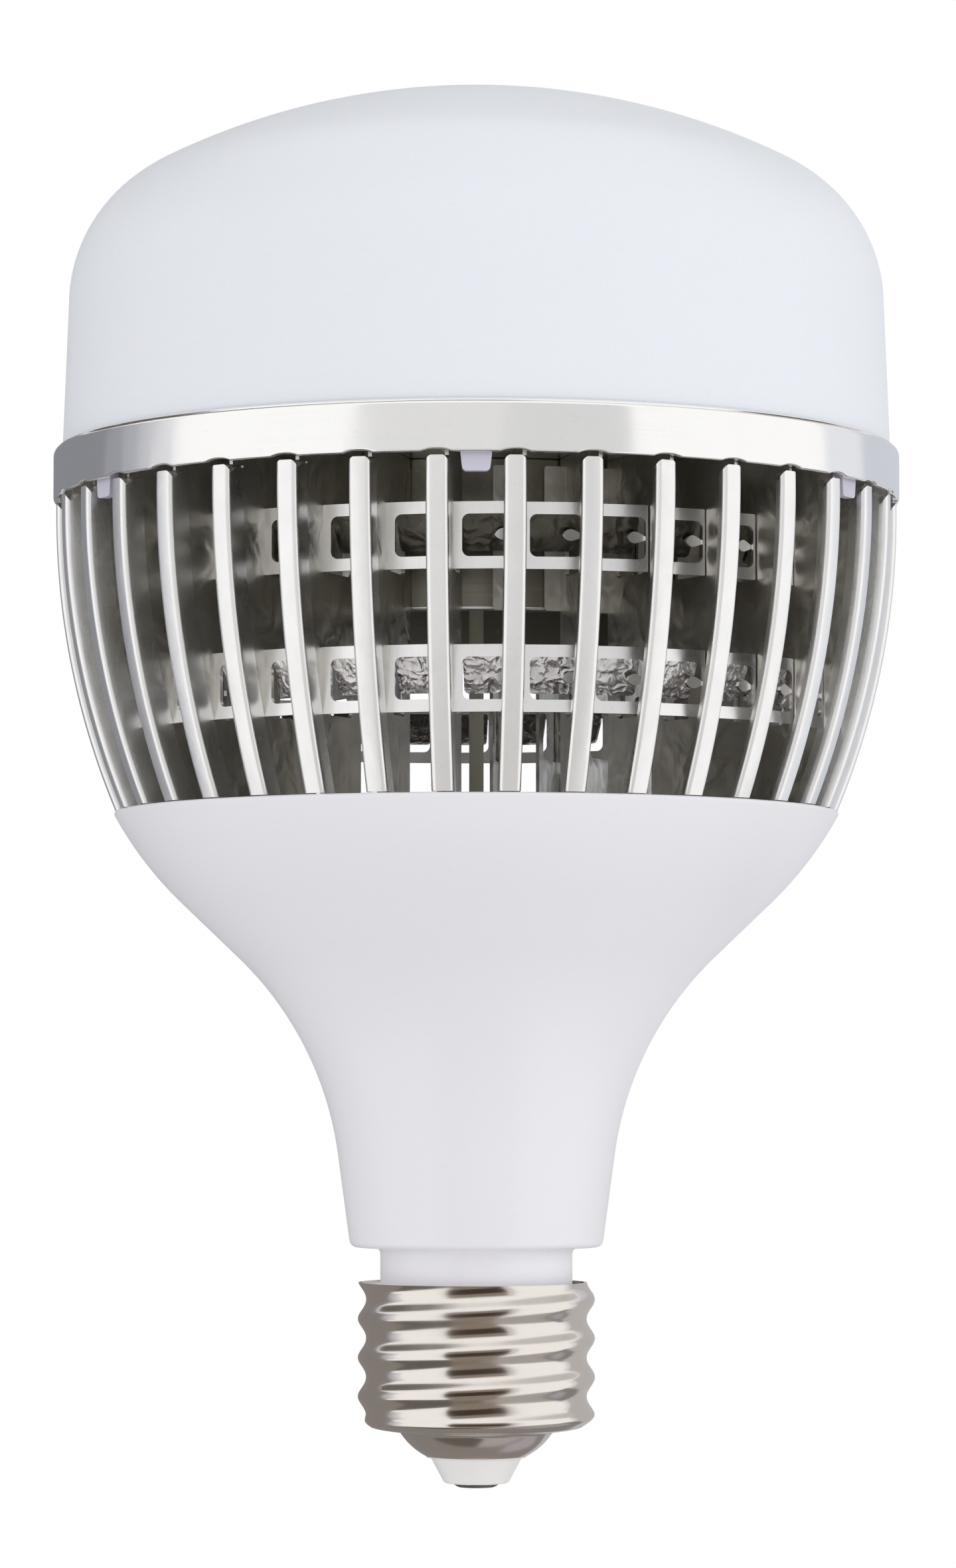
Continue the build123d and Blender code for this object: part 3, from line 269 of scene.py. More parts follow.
class StageSettings(PropertyGroup):
    distance: length("Distance", 834.0, "Camera's distance in front of the axis")
    height: length("Height", 63.6, "Camera's height over the contact")
    offset: length("Offset", 0.27, "Camera's place beside the axis")
    pitch: turn("Pitch", 3.57, "How far the camera looks up")
    lens: length("Lens", 115.97, "Focal length on a 36 mm sensor")
    surround: amount("Surround", 0.88, "Light that the white surround throws on the bulb")
    key: amount("Right lamp", 5.2, "Power of the soft lamp on the right, in watts")
    fill: amount("Left lamp", 1.7, "Power of the soft lamp on the left, in watts")
    front: amount("Front lamp", 3.2, "Power of the soft lamp in front and below, in watts")
    lamp_size: length("Lamp size", 900.0, "Side of a soft lamp")
    lamp_distance: length("Lamp distance", 1900.0, "Distance of a lamp from the bulb")
    card_distance: length("Card distance", 2500.0, "Distance of the reflected cards")
    patch_distance: length("Patch distance", 2400.0, "Distance of a patch before those cards")
    cap_card_distance: length("Cap card distance", 90.0, "Distance of the cap's own cards")


GROUPS = {
    "dome": DomeSizes,
    "rim": RimSizes,
    "fin": FinSizes,
    "tube": TubeSizes,
    "housing": HousingSizes,
    "cap": CapSizes,
    "colours": BulbColours,
    "stage": StageSettings,
}


class BulbLook(PropertyGroup):
    __annotations__ = {name: PointerProperty(type=group) for name, group in GROUPS.items()}


def look():
    return bpy.context.scene.bulb_look


# Places that the frame gives

def top(node):
    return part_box(node)[1].z


def bottom(node):
    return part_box(node)[0].z


def radius_of(node):
    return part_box(node)[1].x


# Points and outlines

def spread(start, end, steps):
    """Evenly spaced values from start to end."""
    return [start + (end - start) * step / steps for step in range(steps + 1)]


def about(angle, outwards, height, aside=0.0):
    """A point from its distance outwards and aside, at an angle about the bulb's axis."""
    return (
        outwards * cos(angle) - aside * sin(angle),
        outwards * sin(angle) + aside * cos(angle),
        height,
    )


def arc(centre, radius, start, end, steps):
    """Points along an arc; the angles are in radians from the outward direction."""
    angles = spread(start, end, steps)
    return [(centre[0] + radius * cos(a), centre[1] + radius * sin(a)) for a in angles]


def rounded(corners, steps=5):
    """A closed outline from (x, y) or (x, y, rounding) corners."""
    points = []
    for index, corner in enumerate(corners):
        here = Vector(corner[:2])
        if len(corner) < 3:
            points.append(tuple(here))
            continue
        into = (Vector(corners[index - 1][:2]) - here).normalized()
        out = (Vector(corners[(index + 1) % len(corners)][:2]) - here).normalized()
        half = into.angle(out) / 2
        middle = here + (into + out).normalized() * corner[2] / sin(half)
        reach = corner[2] / tan(half)
        first, last = here + into * reach - middle, here + out * reach - middle
        for share in spread(0, 1, steps):
            spoke = (first * (1 - share) + last * share).normalized() * corner[2]
            points.append(tuple(middle + spoke))
    return points


def rounded_box(low_x, high_x, low_y, high_y, rounding, steps=5):
    sides = ((low_x, low_y), (high_x, low_y), (high_x, high_y), (low_x, high_y))
    return rounded([(x, y, rounding) for x, y in sides], steps)


def smooth_step(share):
    share = min(1.0, max(0.0, share))
    return share * share * (3 - 2 * share)


# Meshes

class Skin:
    """Points and faces gathered for one piece, each face with its material's number."""

    def __init__(self):
        self.points, self.faces, self.numbers = [], [], []

    def add(self, points, faces, number=0):
        start = len(self.points)
        self.points.extend(points)
        self.faces.extend(tuple(start + corner for corner in face) for face in faces)
        self.numbers.extend([number] * len(faces))

    def grid(self, rows, round_rows=False, round_columns=False, gaps=()):
        """Quads between rows of points; a round direction joins its end to its start."""
        wide = len(rows[0])
        faces = []
        for row in range(len(rows) if round_rows else len(rows) - 1):
            below, above = row * wide, (row + 1) % len(rows) * wide
            for column in range(wide if round_columns else wide - 1):
                if (row, column) not in gaps:
                    beside = (column + 1) % wide
                    faces.append((below + column, below + beside, above + beside, above + column))
        self.add([point for row in rows for point in row], faces)

    def turned(self, section, segments, lift=None, gaps=()):
        """A closed half section turned about the axis; lift moves a point along the axis."""
        rows = []
        for step in range(segments):
            angle = 2 * pi * step / segments
            row = []
            for radius, height in section:
                raised = lift(angle, radius, height) if lift else 0
                row.append(about(angle, radius, height + raised))
            rows.append(row)
        self.grid(rows, True, True, gaps)

    def plate(self, outer, holes, thickness, place, number=0):
        """A flat sheet with holes; place turns (across, up, through) into a point."""
        loops = [outer, *holes]
        flat = [(u, v) for loop in loops for u, v in loop]
        size = len(flat)
        triangles = tessellate_polygon([[Vector((u, v, 0)) for u, v in loop] for loop in loops])
        faces = [tuple(face) for face in triangles]
        faces += [tuple(corner + size for corner in reversed(face)) for face in triangles]
        start = 0
        for loop in loops:
            for index in range(len(loop)):
                a, b = start + index, start + (index + 1) % len(loop)
                faces.append((a, b, b + size, a + size))
            start += len(loop)
        points = [place(u, v, 0) for u, v in flat] + [place(u, v, thickness) for u, v in flat]
        self.add(points, faces, number)

    def mesh(self, name):
        """A new mesh from the points and faces."""
        made = bpy.data.meshes.new(name)
        made.from_pydata(self.points, [], self.faces)
        return made


def placed(name, data):
    """A new object in the scene."""
    made = bpy.data.objects.new(name, data)
    bpy.context.scene.collection.objects.link(made)
    return made


WELD = MM / 1000          # points nearer than this are one
BREAK_ANGLE = 60          # degrees, at which an edge is sheared and so gets its edge break


def piece(name, skin, finishes, node, edge=0.0, sharp=34):
    """A new object from a skin, riding on the bulb in place of a CAD node."""
    mesh = skin.mesh(name)
    for finish in finishes:
        mesh.materials.append(material_named(finish))
    mesh.polygons.foreach_set("material_index", skin.numbers)
    work = bmesh.new()
    work.from_mesh(mesh)
    bmesh.ops.remove_doubles(work, verts=work.verts, dist=WELD)
    bmesh.ops.dissolve_degenerate(work, edges=work.edges, dist=WELD)
    bmesh.ops.recalc_face_normals(work, faces=work.faces)
    if edge:
        limit = radians(BREAK_ANGLE)
        breaks = [e for e in work.edges if e.is_manifold and e.calc_face_angle() > limit]
        bmesh.ops.bevel(
            work, geom=breaks, offset=edge, segments=1, affect="EDGES", clamp_overlap=True,
            material=-1,
        )
    work.to_mesh(mesh)
    work.free()
    mesh.shade_smooth()
    mesh.set_sharp_from_angle(angle=radians(sharp))
    if not mesh.polygons:
        raise RuntimeError(f"{name} has no faces")
    made = placed(name, mesh)
    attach(made, "root")
    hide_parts(node)


def turned_piece(name, section, segments, finish, node):
    """A piece that is one half section turned about the axis."""
    skin = Skin()
    skin.turned(section, segments)
    piece(name, skin, [finish], node)


# Surface effects, shared as node groups

class Wires:
    """Adds nodes to a tree; an input is a value or a socket, and a node's first output comes back."""

    def __init__(self, tree):
        self.tree = tree

    def add(self, kind, inputs, **settings):
        node = self.tree.nodes.new(kind)
        for key, value in settings.items():
            setattr(node, key, value)
        for key, value in inputs.items():
            if isinstance(value, bpy.types.NodeSocket):
                self.tree.links.new(value, node.inputs[key])
            else:
                node.inputs[key].default_value = value
        return node.outputs[0] if node.outputs else None

    def place(self):
        return self.add("ShaderNodeTexCoord", {}).node.outputs["Object"]

    def math(self, operation, *values):
        return self.add("ShaderNodeMath", dict(enumerate(values)), operation=operation)

    def noise(self, place, scale, detail, distortion=0.0):
        inputs = {"Vector": place, "Scale": scale, "Detail": detail, "Distortion": distortion}
        return self.add("ShaderNodeTexNoise", inputs)

    def between(self, mask, low, high, start=0.0, end=1.0):
        """A number that goes from low to high while the mask goes from start to end."""
        inputs = {"Value": mask, "From Min": start, "From Max": end, "To Min": low, "To Max": high}
        return self.add("ShaderNodeMapRange", inputs)

    def blend(self, mask, first, second):
        """A colour between two colours, by a mask."""
        inputs = {0: mask, 6: first, 7: second}
        return self.add("ShaderNodeMix", inputs, data_type="RGBA").node.outputs[2]


def emptied(holder):
    """The wires of a material's or a world's node tree, once it has no nodes left."""
    holder.use_nodes = True
    holder.node_tree.nodes.clear()
    return Wires(holder.node_tree)


def moulded_skin(wires, place, scale):
    """Moulded plastic: a fine spark-eroded grain over slow flow marks."""
    grain = wires.noise(place, scale, 3.0)
    flow = wires.noise(place, wires.math("MULTIPLY", scale, 0.03), 2.0)
    ripple = wires.math("MULTIPLY", flow, 1.5)
    return wires.between(flow, 0.15, 0.85), wires.math("ADD", grain, ripple)


def rolled_sheet(wires, place, scale):
    """Rolled aluminium: fine lines along the sheet, pressed waves and a dull bloom."""
    drawn_out = {0: place, 1: (1, 1, 0.02)}
    along = wires.add("ShaderNodeVectorMath", drawn_out, operation="MULTIPLY")
    lines = wires.noise(along, scale, 4.0)
    waves = wires.noise(place, wires.math("MULTIPLY", scale, 0.12), 1.5, 0.6)
    mask = wires.math("ADD", wires.math("MULTIPLY_ADD", lines, 0.5, -0.25), waves)
    return mask, wires.math("ADD", waves, wires.math("MULTIPLY", lines, 0.02))


def drawn_metal(wires, place, scale):
    """Turned or drawn metal: fine rings round the bulb's axis."""
    x, y, z = wires.add("ShaderNodeSeparateXYZ", {"Vector": place}).node.outputs
    angle = wires.math("MULTIPLY", wires.math("ARCTAN2", y, x), 0.0012)
    outwards = wires.add("ShaderNodeVectorMath", {0: place}, operation="LENGTH").node.outputs["Value"]
    flat = wires.add("ShaderNodeCombineXYZ", {"X": outwards, "Y": angle, "Z": z})
    rings = wires.noise(flat, scale, 4.0)
    patches = wires.noise(place, wires.math("MULTIPLY", scale, 0.05), 2.0)
    mask = wires.math("ADD", rings, patches)
    return mask, wires.math("ADD", wires.math("MULTIPLY", rings, 0.3), patches)


PLASTIC, SHEET, DRAWN, DUST = "moulded_skin", "rolled_sheet", "drawn_metal", "settled_dust"
FAMILIES = {PLASTIC: moulded_skin, SHEET: rolled_sheet, DRAWN: drawn_metal}
SURFACE_INPUTS = (
    ("Light", "NodeSocketColor", (0.8, 0.8, 0.8, 1)),
    ("Dark", "NodeSocketColor", (0.7, 0.7, 0.7, 1)),
    ("Smooth", "NodeSocketFloat", 0.3),
    ("Rough", "NodeSocketFloat", 0.4),
    ("Scale", "NodeSocketFloat", 1000.0),
)
SURFACE_OUTPUTS = (
    ("Color", "NodeSocketColor"), ("Roughness", "NodeSocketFloat"), ("Height", "NodeSocketFloat"),
)
DUST_INPUTS = (
    ("Color", "NodeSocketColor", (0.8, 0.8, 0.8, 1)),
    ("Roughness", "NodeSocketFloat", 0.3),
    ("Dust", "NodeSocketColor", (0.62, 0.61, 0.6, 1)),
    ("Cover", "NodeSocketFloat", 0.1),
)


def new_group(name, inputs, outputs):
    """A node group with named sockets, as its tree, its wires and the inputs it is given."""
    tree = bpy.data.node_groups.new(name, "ShaderNodeTree")
    for label, kind, default in inputs:
        socket = tree.interface.new_socket(label, in_out="INPUT", socket_type=kind)
        socket.default_value = default
    for label, kind in outputs:
        tree.interface.new_socket(label, in_out="OUTPUT", socket_type=kind)
    return tree, Wires(tree), tree.nodes.new("NodeGroupInput").outputs


def surface_group(family):
    """A family's colour and roughness, from a mask between two of each, and its relief."""
    tree, wires, given = new_group(family, SURFACE_INPUTS, SURFACE_OUTPUTS)
    mask, height = FAMILIES[family](wires, wires.place(), given["Scale"])
    wires.add("NodeGroupOutput", {
        "Color": wires.blend(mask, given["Dark"], given["Light"]),
        "Roughness": wires.between(mask, given["Rough"], given["Smooth"]),
        "Height": height,
    })
    return tree


def dust_group():
    """Sparse dull specks and finger marks over any finish."""
    tree, wires, given = new_group(DUST, DUST_INPUTS, SURFACE_OUTPUTS[:2])
    place, cover = wires.place(), given["Cover"]
    specks = wires.between(wires.noise(place, 900.0, 1.0), 0.0, 1.0, 0.66, 0.74)
    marks = wires.between(wires.noise(place, 70.0, 3.0), 0.0, 1.0, 0.5, 0.75)
    faint, dull = (wires.math("MULTIPLY", mask, cover) for mask in (specks, marks))
    wires.add("NodeGroupOutput", {
        "Color": wires.blend(faint, given["Color"], given["Dust"]),
        "Roughness": wires.math("ADD", given["Roughness"], dull),
    })
    return tree


def group_named(name):
    """A shared node group, built the first time that a material asks for it."""
    made = bpy.data.node_groups.get(name)
    return made or (surface_group(name) if name in FAMILIES else dust_group())


# Each finish: family, colour or its name in the panel, how much of the colour its marks keep,
# roughness where smooth and where rough, scale, relief in mm, and cover of dust
FINISHES = {
    "opal_dome": (PLASTIC, "dome", 0.985, 0.42, 0.5, 2600, 0.006, 0.05),
    # Painted shade: a darker copy of the dome's plastic for the snap tabs
    "shaded_tab": (PLASTIC, "tab", 0.97, 0.42, 0.5, 2600, 0.006, 0.05),
    "glossy_housing": (PLASTIC, "housing", 0.985, 0.3, 0.36, 2200, 0.006, 0.06),
    # Painted light: the housing's plastic made lighter for the collar in the housing's shade
    "collar_plastic": (PLASTIC, "collar", 0.985, 0.32, 0.4, 2200, 0.006, 0.06),
    "bright_rim": (DRAWN, "bright", 0.94, 0.13, 0.19, 2600, 0.003, 0.06),
    "bright_sheet": (SHEET, "bright", 0.93, 0.22, 0.34, 1500, 0.08, 0.08),
    # Painted shade: a darker copy of the fins' sheet for the webs between the fins
    "rolled_web": (SHEET, "web", 0.75, 0.28, 0.46, 1700, 0.5, 0.1),
    # Painted shade: a near-black copy of the fins' sheet for the upper flaps
    "shaded_flap": (SHEET, "shaded", 0.7, 0.25, 0.4, 2600, 0.6, 0.1),
    "crumpled_flap": (SHEET, "flap", 0.6, 0.2, 0.34, 4200, 0.9, 0.1),
    # Painted shade: the aluminium tube made dark for the shade inside the cage of fins
    "dark_tube": (DRAWN, "tube", 0.75, 0.3, 0.42, 1800, 0.02, 0.1),
    # The tube's rounded lower edge keeps the bright sheet's own colour, without the painted shade of
    # the rest of the tube
    "cut_edge": (DRAWN, "bright", 0.9, 0.25, 0.4, 2000, 0.003, 0.1),
    "glass_sleeve": (PLASTIC, (0.45, 0.43, 0.33), 0.8, 0.5, 0.65, 3000, 0.04, 0.1),
    "plated_shell": (DRAWN, "nickel", 0.95, 0.16, 0.23, 2400, 0.01, 0.08),
    "cap_plug": (PLASTIC, "insulator", 0.97, 0.24, 0.32, 2400, 0.008, 0.08),
    "tinned_contact": (DRAWN, "contact", 0.8, 0.28, 0.45, 2600, 0.01, 0.15),
    "rivet_metal": (SHEET, (0.75, 0.75, 0.76), 0.9, 0.25, 0.4, 900, 0.01, 0.1),
    "white_mask": (PLASTIC, (0.78, 0.78, 0.76), 0.96, 0.35, 0.5, 1800, 0.01, 0.1),
    "phosphor": (PLASTIC, (0.85, 0.68, 0.18), 0.9, 0.3, 0.5, 2600, 0.03, 0.1),
    "zinc_screw": (SHEET, (0.66, 0.66, 0.67), 0.85, 0.3, 0.45, 1200, 0.01, 0.1),
    "grommet_rubber": (PLASTIC, (0.03, 0.03, 0.03), 0.8, 0.6, 0.8, 1500, 0.03, 0.1),
    "seat_sheet": (SHEET, (0.62, 0.61, 0.58), 0.85, 0.26, 0.42, 900, 0.05, 0.1),
    "green_mask": (PLASTIC, (0.02, 0.16, 0.06), 0.8, 0.35, 0.5, 1200, 0.01, 0.1),
    "can_sleeve": (PLASTIC, (0.015, 0.02, 0.05), 0.8, 0.25, 0.4, 900, 0.01, 0.1),
    "ferrite": (PLASTIC, (0.03, 0.03, 0.032), 0.7, 0.5, 0.7, 2400, 0.03, 0.1),
    "coil_tape": (PLASTIC, (0.62, 0.42, 0.07), 0.85, 0.3, 0.45, 700, 0.03, 0.1),
    "dipped_box": (PLASTIC, (0.55, 0.36, 0.03), 0.9, 0.25, 0.35, 800, 0.01, 0.1),
    "sink_sheet": (SHEET, (0.7, 0.7, 0.71), 0.85, 0.3, 0.45, 900, 0.01, 0.1),
    "red_lead": (PLASTIC, (0.5, 0.02, 0.015), 0.85, 0.35, 0.5, 1600, 0.01, 0.1),
}
OPAL_DEPTH = {"Subsurface Weight": 0.12, "Subsurface Scale": 3 * MM}     # the dome glows within


def material_named(name):
    """One of the bulb's finishes, made when it is first asked for."""
    made = bpy.data.materials.get(name)
    if made:
        return made
    family, colour, kept, smooth, rough, scale, relief, dust = FINISHES[name]
    if isinstance(colour, str):
        colour = getattr(look().colours, colour)
    made = bpy.data.materials.new(name)
    wires = emptied(made)
    surface = wires.add("ShaderNodeGroup", {
        "Light": (*colour, 1), "Dark": (*[channel * kept for channel in colour], 1),
        "Smooth": smooth, "Rough": rough, "Scale": scale,
    }, node_tree=group_named(family)).node.outputs
    dusty = wires.add("ShaderNodeGroup", {
        "Color": surface["Color"], "Roughness": surface["Roughness"], "Cover": dust,
    }, node_tree=group_named(DUST)).node.outputs
    bump = wires.add("ShaderNodeBump", {"Distance": relief * MM, "Height": surface["Height"]})
    shader = wires.add("ShaderNodeBsdfPrincipled", {
        "Base Color": dusty["Color"], "Roughness": dusty["Roughness"], "Normal": bump,
        "Metallic": 0.0 if family == PLASTIC else 1.0,
        **(OPAL_DEPTH if name == "opal_dome" else {}),
    })
    wires.add("ShaderNodeOutputMaterial", {0: shader})
    return made


# Pieces

def dome_wall(sizes, foot_radius, foot, inset):
    """The dome's section from its foot to the crown, moved inwards by an inset."""
    shoulder, crown = sizes.shoulder - inset, sizes.crown - inset
    across = foot_radius - sizes.draft - sizes.shoulder
    shoulder_top = foot + sizes.straight
    crown_height = shoulder_top - sqrt((crown - shoulder) ** 2 - across ** 2)
    meet = acos(across / (crown - shoulder))
    points = [(foot_radius - inset, foot), *arc((across, shoulder_top), shoulder, 0, meet, 20)]
    return points + arc((0, crown_height), crown, meet, pi / 2, 22)[1:]


class BULB_OT_dome(Operator):
    """Build the opal dome with its snap tabs"""
    bl_idname = "bulb.dome"
    bl_label = "Dome"

    def execute(self, context):
        sizes, rim = look().dome, look().rim
        floor = bottom("led_board")
        foot_radius = radius_of("led_pan") - rim.wall - sizes.rim_gap
        outer = dome_wall(sizes, foot_radius, floor + HAIR, 0)
        inner = dome_wall(sizes, foot_radius, floor + HAIR, sizes.wall)
        skin = Skin()
        skin.turned(outer + inner[::-1], sizes.segments)
        tip, pan_under = bottom("diffuser"), floor - rim.sheet
        root, end = sizes.tab_root / 2, sizes.tab_tip / 2
        shape = rounded([
            (-root, floor + sizes.wall), (-root, pan_under), (-end, tip, sizes.tab_round),
            (end, tip, sizes.tab_round), (root, pan_under), (root, floor + sizes.wall),
        ])
        inside = foot_radius - PLAY - sizes.tab_sheet
        for index in range(sizes.tab_count):
            angle = radians(FRONT) + 2 * pi * index / sizes.tab_count

            def place(across, up, through):
                return about(angle, inside + through, up, across)

            # Material 1 gives each tab its painted shade
            skin.plate(shape, [], sizes.tab_sheet, place, 1)
        finishes = ("opal_dome", "shaded_tab")
        piece("opal_dome", skin, finishes, "diffuser", sizes.edge)
        return {"FINISHED"}


class BULB_OT_rim(Operator):
    """Build the pan whose rolled wall is the bright rim, arched over each fin"""
    bl_idname = "bulb.rim"
    bl_label = "Rim"

    inner_foot, inner_top = 0.2 * MM, 0.04 * MM      # inner roundings of the wall's edges

    def execute(self, context):
        sizes = look().rim
        low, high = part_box("led_pan")
        outside, inside = high.x, high.x - sizes.wall
        under, over = low.z + sizes.floor_rise, low.z + sizes.floor_rise + sizes.sheet
        slot_side = inside - sizes.slot_depth
        section = rounded([
            (sizes.hole, under), (slot_side, under), (inside, under),
            (inside, low.z, self.inner_foot), (outside, low.z, sizes.foot_round),
            (outside, high.z, sizes.top_round), (inside, high.z, self.inner_top),
            (inside, over), (slot_side, over), (sizes.hole, over),
        ])
        segments = sizes.notch_steps * len(FIN_NODES)

        def arch(angle, radius, height):
            """Lifts the lower edge over a fin, and fades out up the wall."""
            if radius < inside - HAIR or height > low.z + sizes.notch_fade:
                return 0
            turned = (degrees(angle) - FRONT) % FIN_PITCH - FIN_PITCH / 2
            beside = abs(radians(turned)) * outside / (sizes.notch_width / 2)
            fade = 1 - smooth_step((height - low.z) / sizes.notch_fade)
            return sizes.notch_height * sqrt(max(0.0, 1 - beside ** 2)) * fade

        slotted = self.slotted_rows(sizes, inside, segments)
        floor_columns = (1, len(section) - 3)        # from slot_side to the wall, under and over
        gaps = {(row, column) for row in slotted for column in floor_columns}
        skin = Skin()
        skin.turned(section, segments, arch, gaps)
        self.slot_walls(skin, slotted, segments, slot_side, inside, under, over)
        piece("bright_rim", skin, ["bright_rim"], "led_pan")
        return {"FINISHED"}

    @staticmethod
    def slotted_rows(sizes, inside, segments):
        """The rows of the rim where a snap tab passes through the floor."""
        spacing = segments / look().dome.tab_count
        half_slot = asin(sizes.slot_width / 2 / inside) * segments / (2 * pi)
        past = [(row + 0.5 - segments * FRONT / 360) % spacing for row in range(segments)]
        return {row for row, steps in enumerate(past) if min(steps, spacing - steps) < half_slot}

    @staticmethod
    def slot_walls(skin, slotted, segments, inner, outer, under, over):
        """The cut edges of the slots in the pan's floor."""

        def wall(first, last):
            """An upright wall between two places, each a step round the rim and a radius."""
            ends = [(2 * pi * step / segments, radius) for step, radius in (first, last)]
            points = [about(angle, radius, under) for angle, radius in ends]
            points += [about(angle, radius, over) for angle, radius in reversed(ends)]
            skin.add(points, [(0, 1, 2, 3)])

        for row in slotted:
            wall((row, inner), (row + 1, inner))
            for side, beside in ((row, row - 1), (row + 1, row + 1)):
                if beside % segments not in slotted:
                    wall((side, inner), (side, outer))


# The fins: a flange's rows crowd towards its rounded top, a lip's upper end is cut at a slope,
# and a lock tongue is a leaf with a neck and a belly, in shares of its height. The exponents put
# the belly past the leaf's middle and fill it out
ROW_CROWDING = 1.35
LIP_CUT = 0.5
LEAF_NECK, LEAF_BELLY = 0.08, 0.45
LEAF_UP, LEAF_DOWN = 1.15, 0.85
BELLY_PLACE, BELLY_FILL = 1.6, 0.8


def fin_places(sizes):
    """The heights and radii that one fin takes from the frame."""
    brim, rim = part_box("housing")[1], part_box("led_pan")
    return SimpleNamespace(
        top_radius=rim[1].x - sizes.setback,
        low_radius=brim.x - sizes.setback,
        brim=brim.z,
        low=brim.z + sizes.foot_gap,
        bow_top=rim[0].z - sizes.straight,
        high=rim[0].z - sizes.top_gap,
        web_top=top("fin_01"),
        foot=bottom("fin_01"),
        seat=top("seat_plate") + HAIR,
        inner=radius_of("core_tube") + sizes.sheet,
        shoulder=rim[1].x - look().rim.wall - sizes.sheet,
        frame=brim.x - sizes.window_inset,
        windows=(rim[0].z - sizes.upper_drop, brim.z + sizes.lower_rise),
        tube_low=bottom("core_tube"),
    )


def fin_edge(places, height):
    """The flange's radius at a height: an arc from the brim up to the straight run."""
    rise = places.bow_top - places.brim
    sag = places.top_radius - places.low_radius
    bow = (rise ** 2 + sag ** 2) / (2 * sag)
    drop = max(0.0, places.bow_top - height)
    return places.top_radius - bow + sqrt(bow ** 2 - drop ** 2)


def fold_section(sizes):
    """The folded edge in plan, from lip to flange to web, as pairs of outer and inner points.

    A point has its depth behind the flange's face and its place across it.
    """
    half, bend = sizes.flange / 2, sizes.bend
    pairs = [((sizes.lip, -half), (sizes.lip, -half + sizes.sheet))]
    for side in (-1, 1):
        for angle in spread(0, pi / 2, 6)[::-side]:
            pairs.append(tuple(
                (bend - radius * sin(angle), side * (half - bend + radius * cos(angle)))
                for radius in (bend, bend - sizes.sheet)
            ))
    for depth in spread(bend, sizes.web_run, 4)[1:]:
        pairs.append(((depth, half), (depth, half - sizes.sheet)))
    return pairs


def shoulder_drop(sizes, depth, across):
    """How far the sheet's upper end is below the flange's crown."""
    side = max(0.0, abs(across) - (sizes.flange / 2 - sizes.shoulder))
    drop = sizes.shoulder - sqrt(max(0.0, sizes.shoulder ** 2 - min(side, sizes.shoulder) ** 2))
    if across > 0:
        return drop * (1 - smooth_step((depth - sizes.bend) / sizes.shoulder_run))
    return drop + LIP_CUT * max(0.0, depth - sizes.bend)


def add_fold(skin, sizes, places):
    """The folded edge from the brim to the rim, closed at both ends."""
    pairs = fold_section(sizes)
    loop = [outer for outer, inner in pairs] + [inner for outer, inner in reversed(pairs)]
    rows = []
    for step in spread(0, 1, 36):
        share = 1 - (1 - step) ** ROW_CROWDING
        row = []
        for depth, across in loop:
            high = places.high - shoulder_drop(sizes, depth, across)
            height = places.low + (high - places.low) * share
            row.append((fin_edge(places, height) - depth, across, height))
        rows.append(row)
    skin.grid(rows, round_columns=True)
    size = len(loop)
    for row in (rows[0], rows[-1]):
        skin.add(row, [(i, i + 1, size - 2 - i, size - 1 - i) for i in range(len(pairs) - 1)])


def add_web(skin, sizes, places, reach):
    """The flat sheet from the tube out to the fold, with a window over each frame."""
    edge = spread(places.low, places.high, 24)
    foot_in = places.inner + sizes.foot_inset
    foot_out = foot_in + sizes.foot_length
    outer = [(fin_edge(places, height) - sizes.web_run, height) for height in edge] + [
        (places.shoulder, places.high), (places.shoulder, places.web_top),
        (places.inner, places.web_top), (places.inner, places.seat),
        (foot_in, places.seat), (foot_in, places.foot),
        (foot_out, places.foot), (foot_out, places.seat),
        (sizes.seat_side, places.seat), (sizes.seat_side, places.low),
    ]
    half, corner = sizes.window_height / 2, sizes.window_corner
    outside = places.frame - sizes.sheet
    holes = [
        rounded_box(outside - reach, outside, height - half, height + half, corner)
        for height in places.windows
    ]
    inner_face = sizes.flange / 2 - sizes.sheet
    # Material 1 paints the web darker than its own flange, as painted shade between the fins
    skin.plate(outer, holes, sizes.sheet, lambda u, v, w: (u, inner_face + w, v), 1)


def facing(radius):
    """Places a flat sheet across a fin's side, with its inner face at a radius."""
    return lambda aside, height, through: (radius + through, aside, height)


def add_frame(skin, sizes, places, height, reach):
    """A window frame bent out of the web, with rounded corners."""
    half, root = sizes.window_height / 2, sizes.flange / 2 - sizes.sheet / 2
    far = sizes.flange / 2 + reach
    outer = rounded([
        (root, height - half), (far, height - half, sizes.frame_corner),
        (far, height + half, sizes.frame_corner), (root, height + half),
    ])
    hole = rounded_box(
        sizes.flange / 2 + sizes.stile, far - sizes.far_stile,
        height - half + sizes.rail, height + half - sizes.rail, sizes.window_corner,
    )
    skin.plate(outer, [hole], sizes.sheet, facing(places.frame - sizes.sheet))


def add_flap(skin, sizes, places, height, reach, number):
    """The window's own sheet, left hanging from the upper rail and pressed inwards."""
    near_slit, foot_slit = 0.1 * MM, 0.3 * MM
    half = sizes.window_height / 2 - sizes.rail
    near = sizes.flange / 2 + sizes.stile + near_slit
    far = sizes.flange / 2 + reach - sizes.far_stile - sizes.flap_gap
    fall, inward = cos(sizes.flap_swing), sin(sizes.flap_swing)

    def place(across, along, through):
        return (places.frame - along * inward - through * fall, across,
                height + half - along * fall + through * inward)

    shape = rounded_box(near, far, 0, 2 * half - foot_slit, sizes.flap_corner)
    skin.plate(shape, [], sizes.sheet, place, number)


